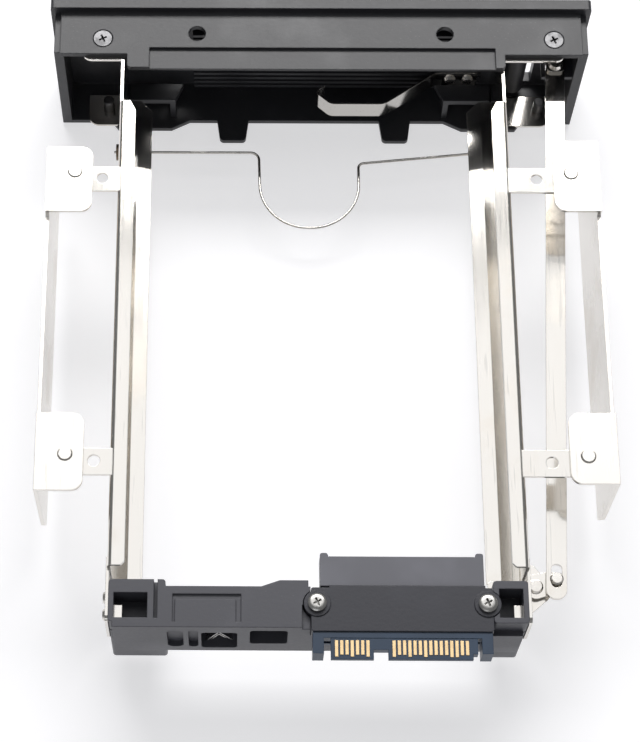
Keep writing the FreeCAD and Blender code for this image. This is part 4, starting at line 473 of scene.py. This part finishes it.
def join_as(name, pieces, material):
    deselect_all()
    for piece in pieces:
        piece.select_set(True)
    bpy.context.view_layer.objects.active = pieces[0]
    if len(pieces) > 1:
        bpy.ops.object.join()
    return settle(bpy.context.object, name, material)


def cross_recess(head, centre, top, width, reach, depth):
    """Cut a cross recess with tapered arms into a screw head that faces up."""
    for turn in (0.0, math.pi / 2):
        deselect_all()
        bpy.ops.mesh.primitive_cube_add(size=1.0, location=(centre[0], centre[1], top))
        arm = bpy.context.object
        arm.scale = (reach * 2, width, depth * 2)
        arm.rotation_euler = (0.0, 0.0, turn + RECESS_TURN)
        bpy.ops.object.transform_apply(location=False, rotation=False, scale=True)
        bpy.ops.object.mode_set(mode="EDIT")
        pick_faces(arm, lambda place, normal: normal.z < -0.9)
        bpy.ops.transform.resize(value=RECESS_TAPER)
        bpy.ops.object.mode_set(mode="OBJECT")
        cut = head.modifiers.new("recess", "BOOLEAN")
        cut.operation = "DIFFERENCE"
        cut.solver = "EXACT"
        cut.object = arm
        deselect_all()
        head.select_set(True)
        bpy.context.view_layer.objects.active = head
        bpy.ops.object.modifier_apply(modifier=cut.name)
        bpy.data.objects.remove(arm)


def cross_head(centre, seat, top, radius, shank, tip, recess, domed):
    """One machine screw along Z: a head with a cross recess, and a plain shank with a blunt tip."""
    deselect_all()
    height = top - seat
    bpy.ops.mesh.primitive_cylinder_add(
        vertices=40, radius=radius, depth=height, location=(centre[0], centre[1], (seat + top) / 2))
    head = bpy.context.object
    bpy.ops.object.mode_set(mode="EDIT")
    if domed:
        pick_faces(head, lambda place, normal: normal.z > 0.9)
        for width in DOME_INSETS:
            bpy.ops.mesh.inset(thickness=radius * width, depth=0.0)
        for inner, outer, drop in DOME_RINGS:
            pick_verts(head, lambda place: place.z > 0
                       and inner < math.hypot(place.x, place.y) / radius < outer)
            bpy.ops.transform.translate(value=(0.0, 0.0, -height * drop))
    else:
        pick_faces(head, lambda place, normal: normal.z < -0.9)
        bpy.ops.transform.resize(value=(shank / radius, shank / radius, 1.0))
    bpy.ops.object.mode_set(mode="OBJECT")
    cross_recess(head, centre, top, recess[0], radius * RECESS_REACH, recess[1])
    deselect_all()
    bpy.ops.mesh.primitive_cylinder_add(
        vertices=24, radius=shank, depth=seat - tip, location=(centre[0], centre[1], (seat + tip) / 2))
    body = bpy.context.object
    bpy.ops.object.mode_set(mode="EDIT")
    pick_faces(body, lambda place, normal: normal.z < -0.9)
    bpy.ops.mesh.inset(thickness=shank * SHANK_TIP, depth=0.0)
    bpy.ops.transform.translate(value=(0.0, 0.0, -shank * SHANK_POINT))
    bpy.ops.object.mode_set(mode="OBJECT")
    return [head, body]


def strip(path, near, depth, thickness):
    """A bent strip: a path in X and Z, given a thickness and drawn out along Y."""
    deselect_all()
    bpy.ops.mesh.primitive_plane_add(size=1.0)
    piece = bpy.context.object
    bpy.ops.object.mode_set(mode="EDIT")
    bpy.ops.mesh.select_all(action="SELECT")
    bpy.ops.mesh.merge(type="CENTER")
    x, z = path[0]
    bpy.ops.transform.translate(value=(x, near, z))
    for next_x, next_z in path[1:]:
        bpy.ops.mesh.extrude_vertices_move(
            TRANSFORM_OT_translate={"value": (next_x - x, 0.0, next_z - z)})
        x, z = next_x, next_z
    bpy.ops.mesh.select_all(action="SELECT")
    bpy.ops.mesh.extrude_edges_move(TRANSFORM_OT_translate={"value": (0.0, depth, 0.0)})
    bpy.ops.object.mode_set(mode="OBJECT")
    wall = piece.modifiers.new("wall", "SOLIDIFY")
    wall.thickness = thickness
    wall.offset = 0.0
    bpy.ops.object.modifier_apply(modifier=wall.name)
    return piece


def contact_leaf(x, front, height):
    """One formed contact: a flat root and a bowed tip."""
    deselect_all()
    bpy.ops.mesh.primitive_cube_add(size=1.0, location=(x, front + LEAF_MIDDLE, height))
    leaf = bpy.context.object
    leaf.scale = LEAF_SIZE
    bpy.ops.object.transform_apply(location=False, rotation=False, scale=True)
    bpy.ops.object.mode_set(mode="EDIT")
    pick_faces(leaf, lambda place, normal: normal.y < -0.9)
    for forward, rise in LEAF_BENDS:
        bpy.ops.mesh.extrude_region_move(TRANSFORM_OT_translate={"value": (0.0, forward, rise)})
    bpy.ops.object.mode_set(mode="OBJECT")
    return leaf


def smooth_by_angle(piece, degrees):
    deselect_all()
    piece.select_set(True)
    bpy.context.view_layer.objects.active = piece
    bpy.ops.object.shade_smooth_by_angle(angle=math.radians(degrees))


# ---------------------------------------------------------------------------
# Operators
# ---------------------------------------------------------------------------

class DRIVECAGE_OT_plastics(bpy.types.Operator):
    """Finish the bezel, the door, the latch, the crossbar and the adapter cover"""
    bl_idname = "drivecage.plastics"
    bl_label = "Moulded parts"

    def execute(self, context):
        settings = context.scene.drivecage_plastic
        body = moulded_plastic("moulded black", settings.body_colour, settings.roughness,
                               settings.grain)
        dress(body, "bezel_frame", "door_panel", "door_latch")
        # The crossbar gets a lighter copy of the body plastic: painted sheen in place of the highlight
        # it does not catch.
        bar = moulded_plastic("crossbar grey with painted sheen", settings.bar_sheen_colour, settings.roughness, settings.grain)
        dress(bar, "crossbar")
        cover = moulded_plastic("cover grey", settings.cover_colour, settings.roughness - 0.04,
                                settings.grain)
        dress(cover, "adapter_cover")
        return {"FINISHED"}


class DRIVECAGE_OT_sheet(bpy.types.Operator):
    """Finish the rails, the side plates, the link, the lever, the wire and the springs"""
    bl_idname = "drivecage.sheet"
    bl_label = "Plated sheet"

    def execute(self, context):
        settings = context.scene.drivecage_sheet
        rails = plated_sheet("plated rails", settings.colour, settings.roughness,
                             settings.streak, "y")
        dress(rails, "right_rail", "left_rail", "link_bar", "cam_plate", "eject_lever")
        plates = plated_sheet("plated side plates", settings.colour, settings.roughness + 0.13,
                              settings.streak, "y")
        dress(plates, "right_side_plate", "left_side_plate")
        spring = plated_sheet("spring steel", tuple(part * 0.82 for part in settings.colour),
                              settings.roughness, settings.streak, "x")
        dress(spring, "leaf_spring", "latch_spring", "wire_bail")
        rivets = plated_fastener("set rivets", settings.colour, 0.26)
        dress(rivets, "side_plate_rivets", "strap_rivets", "link_front_rivet", "link_rear_rivet",
              "lever_pivot", "hinge_pin", "leaf_screws")
        bushing = plated_fastener("dark bushings", (0.20, 0.155, 0.115), 0.34)
        dress(bushing, "wire_bushings")
        return {"FINISHED"}


class DRIVECAGE_OT_connector(bpy.types.Operator):
    """Finish the plug, the drive socket, the board and the contacts"""
    bl_idname = "drivecage.connector"
    bl_label = "Connector adapter"

    def execute(self, context):
        settings = context.scene.drivecage_connector
        dress(connector_plastic("plug blue", settings.plug_colour, 0.38), "plug_housing")
        dress(connector_plastic("socket grey", settings.socket_colour, 0.4), "drive_socket")
        dress(circuit_board("board green"), "adapter_board")
        gold = plated_fastener("gold contacts", settings.gold_colour, 0.24)
        dress(gold, "signal_contacts", "power_contacts")
        return {"FINISHED"}


class DRIVECAGE_OT_screws(bpy.types.Operator):
    """Model the cross-recessed screws of the housing and of the adapter cover"""
    bl_idname = "drivecage.screws"
    bl_label = "Screws"

    def execute(self, context):
        settings = context.scene.drivecage_fastener
        recess = (settings.slot_width, settings.slot_depth)
        steel = plated_fastener("screw plating", (0.60, 0.59, 0.57), 0.3)
        low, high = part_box("adapter_screws")
        screws = []
        seat = high.z - COVER_HEAD_HEIGHT
        for x in (low.x + COVER_HEAD_RADIUS, high.x - COVER_HEAD_RADIUS):
            screws += cross_head((x, (low.y + high.y) / 2), seat, high.z, COVER_HEAD_RADIUS,
                                 COVER_SHANK_RADIUS, low.z + COVER_TIP_RISE, recess, domed=True)
        cover_screws = join_as("cover_screws", screws, steel)
        smooth_by_angle(cover_screws, SMOOTH_DEGREES)
        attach(cover_screws, "frame")
        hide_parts("adapter_screws")

        low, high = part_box("rail_screws")
        dark = plated_fastener("blackened screws", (0.15, 0.15, 0.155), 0.38)
        middle = (low.y + high.y) / 2
        upper = []
        seat = high.z - HOUSING_HEAD_HEIGHT
        for x in (low.x + HOUSING_HEAD_INSET, high.x - HOUSING_HEAD_INSET):
            upper += cross_head((x, middle), seat, high.z, HOUSING_HEAD_RADIUS,
                                HOUSING_SHANK_RADIUS, high.z - HOUSING_SHANK_LENGTH, recess,
                                domed=False)
        first = join_as("upper_screws", upper, dark)
        deselect_all()
        first.select_set(True)
        context.view_layer.objects.active = first
        bpy.ops.object.duplicate()
        second = context.object
        bpy.ops.object.mode_set(mode="EDIT")
        bpy.ops.mesh.select_all(action="SELECT")
        bpy.ops.transform.mirror(constraint_axis=(False, False, True),
                                 center_override=(0.0, middle, (low.z + high.z) / 2))
        bpy.ops.mesh.normals_make_consistent(inside=False)
        bpy.ops.object.mode_set(mode="OBJECT")
        housing_screws = join_as("housing_screws", [first, second], dark)
        smooth_by_angle(housing_screws, SMOOTH_DEGREES)
        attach(housing_screws, "frame")
        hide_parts("rail_screws")
        return {"FINISHED"}


class DRIVECAGE_OT_clips(bpy.types.Operator):
    """Model the bent spring clip in the crossbar and the contacts inside the drive socket"""
    bl_idname = "drivecage.clips"
    bl_label = "Clip and socket contacts"

    def execute(self, context):
        settings = context.scene.drivecage_fastener
        self.make_clip(settings)
        self.make_socket_contacts(context)
        return {"FINISHED"}

    def make_clip(self, settings):
        """A strip bent into nested V shapes that shows in the crossbar's window."""
        low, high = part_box("crossbar")
        right = high.x - CLIP_FROM_RIGHT
        base = high.y - CLIP_FROM_BACK
        bottom = low.z + CLIP_RISE
        steel = plated_fastener("clip steel", (0.72, 0.71, 0.69), 0.2)
        leaves = []
        for inset in (0.0, CLIP_NEST):
            path = [(right - inset, bottom + inset),
                    (right - CLIP_HALF, bottom + CLIP_HEIGHT - inset),
                    (right - CLIP_HALF * 2 + inset, bottom + CLIP_STEP + inset)]
            leaves.append(strip(path, base, CLIP_DEPTH, settings.clip_sheet))
        clip = join_as("crossbar_clip", leaves, steel)
        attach(clip, "frame")

    def make_socket_contacts(self, context):
        """Springy contacts on the middle wall of both mouths of the drive socket."""
        low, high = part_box("drive_socket")
        gold = plated_fastener("socket gold", context.scene.drivecage_connector.gold_colour, 0.26)
        height = (low.z + high.z) / 2 + CONTACT_RISE
        front = low.y + CONTACT_SETBACK
        leaves = []
        for node, count in CONTACT_COUNTS:
            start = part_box(node)[0].x + CONTACT_SIDE
            for index in range(count):
                leaves.append(contact_leaf(start + CONTACT_PITCH * index, front, height))
        contacts = join_as("socket_contacts", leaves, gold)
        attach(contacts, "frame")


class DRIVECAGE_OT_studio(bpy.types.Operator):
    """Make the floor, the soft lights and the camera"""
    bl_idname = "drivecage.studio"
    bl_label = "Studio"

    def execute(self, context):
        settings = context.scene.drivecage_studio
        context.scene.view_settings.view_transform = "Standard"
        self.make_floor()
        self.make_world(context, settings)
        for name, place, target, size, share, colour in LAMPS:
            self.make_light(name, place, target, size, settings.key_power * share, colour)
        self.make_camera(context, settings)
        return {"FINISHED"}

    def make_floor(self):
        deselect_all()
        bpy.ops.mesh.primitive_grid_add(x_subdivisions=8, y_subdivisions=8, size=FLOOR_SIZE,
                                        location=(0.0, 0.0, cad_box[0].z))
        floor = bpy.context.object
        floor.name = "floor"
        finish = Finish("pale floor")
        paint = finish.add("ShaderNodeBsdfDiffuse", {}, {"Color": FLOOR_PAINT})
        glow = finish.add("ShaderNodeEmission", {},
                          {"Color": FLOOR_GLOW, "Strength": FLOOR_GLOW_STRENGTH})
        seen = finish.ray("Is Camera Ray") + finish.ray("Is Glossy Ray")
        shown = (seen + finish.ray("Is Transmission Ray")).clamped() * FLOOR_GLOW_SHARE
        floor.data.materials.append(finish.close(finish.mix(shown, paint, glow)))

    def make_world(self, context, settings):
        world = bpy.data.worlds.new("studio")
        context.scene.world = world
        sky = Finish("studio", world)
        light = sky.add("ShaderNodeBackground", {},
                        {"Color": SKY_COLOUR, "Strength": settings.sky})
        backdrop = sky.add("ShaderNodeBackground", {}, {"Color": BACKDROP_COLOUR})
        seen = (sky.ray("Is Camera Ray") + sky.ray("Is Transmission Ray")).clamped()
        sky.close(sky.mix(seen, light, backdrop))

    def make_light(self, name, place, target, size, power, colour):
        lamp = bpy.data.lights.new(name, "AREA")
        lamp.shape = "RECTANGLE"
        lamp.size, lamp.size_y = size
        lamp.energy = power
        lamp.color = colour
        light = bpy.data.objects.new(name, lamp)
        bpy.context.scene.collection.objects.link(light)
        light.location = place
        aim = Vector(target) - Vector(place)
        light.rotation_euler = aim.to_track_quat("-Z", "Y").to_euler()

    def make_camera(self, context, settings):
        lens = bpy.data.cameras.new("camera")
        camera = bpy.data.objects.new("camera", lens)
        context.scene.collection.objects.link(camera)
        camera.location = CAMERA_PLACE
        camera.rotation_euler = Euler([math.radians(part) for part in CAMERA_TURN])
        lens.lens = settings.lens
        lens.sensor_width = 36.0
        lens.shift_x, lens.shift_y = CAMERA_SHIFT
        lens.clip_start, lens.clip_end = CAMERA_CLIP
        context.scene.camera = camera


class DRIVECAGE_PT_panel(bpy.types.Panel):
    bl_idname = "DRIVECAGE_PT_panel"
    bl_label = "Drive cage"
    bl_space_type = "VIEW_3D"
    bl_region_type = "UI"
    bl_category = "Drive cage"

    def draw(self, context):
        layout = self.layout
        scene = context.scene
        for title, group, operators in PANEL_ROWS:
            box = layout.box()
            box.label(text=title)
            settings = getattr(scene, group)
            for name in settings.__annotations__:
                box.prop(settings, name)
            for operator in operators:
                box.operator(operator)


PANEL_ROWS = (
    ("Moulded parts", "drivecage_plastic", ("drivecage.plastics",)),
    ("Plated sheet", "drivecage_sheet", ("drivecage.sheet",)),
    ("Connector", "drivecage_connector", ("drivecage.connector",)),
    ("Fasteners", "drivecage_fastener", ("drivecage.screws", "drivecage.clips")),
    ("Studio", "drivecage_studio", ("drivecage.studio",)),
)

SETTINGS = (
    ("drivecage_plastic", PlasticSettings),
    ("drivecage_sheet", SheetSettings),
    ("drivecage_connector", ConnectorSettings),
    ("drivecage_fastener", FastenerSettings),
    ("drivecage_studio", StudioSettings),
)

OPERATORS = (
    DRIVECAGE_OT_plastics,
    DRIVECAGE_OT_sheet,
    DRIVECAGE_OT_connector,
    DRIVECAGE_OT_screws,
    DRIVECAGE_OT_clips,
    DRIVECAGE_OT_studio,
)


def register():
    for name, group in SETTINGS:
        bpy.utils.register_class(group)
        setattr(bpy.types.Scene, name, bpy.props.PointerProperty(type=group))
    for operator in OPERATORS:
        bpy.utils.register_class(operator)
    bpy.utils.register_class(DRIVECAGE_PT_panel)


def unregister():
    bpy.utils.unregister_class(DRIVECAGE_PT_panel)
    for operator in reversed(OPERATORS):
        bpy.utils.unregister_class(operator)
    for name, group in reversed(SETTINGS):
        delattr(bpy.types.Scene, name)
        bpy.utils.unregister_class(group)


def main():
    register()
    bpy.ops.drivecage.studio()
    bpy.ops.drivecage.plastics()
    bpy.ops.drivecage.sheet()
    bpy.ops.drivecage.connector()
    bpy.ops.drivecage.screws()
    bpy.ops.drivecage.clips()


if __name__ == "__main__":
    main()
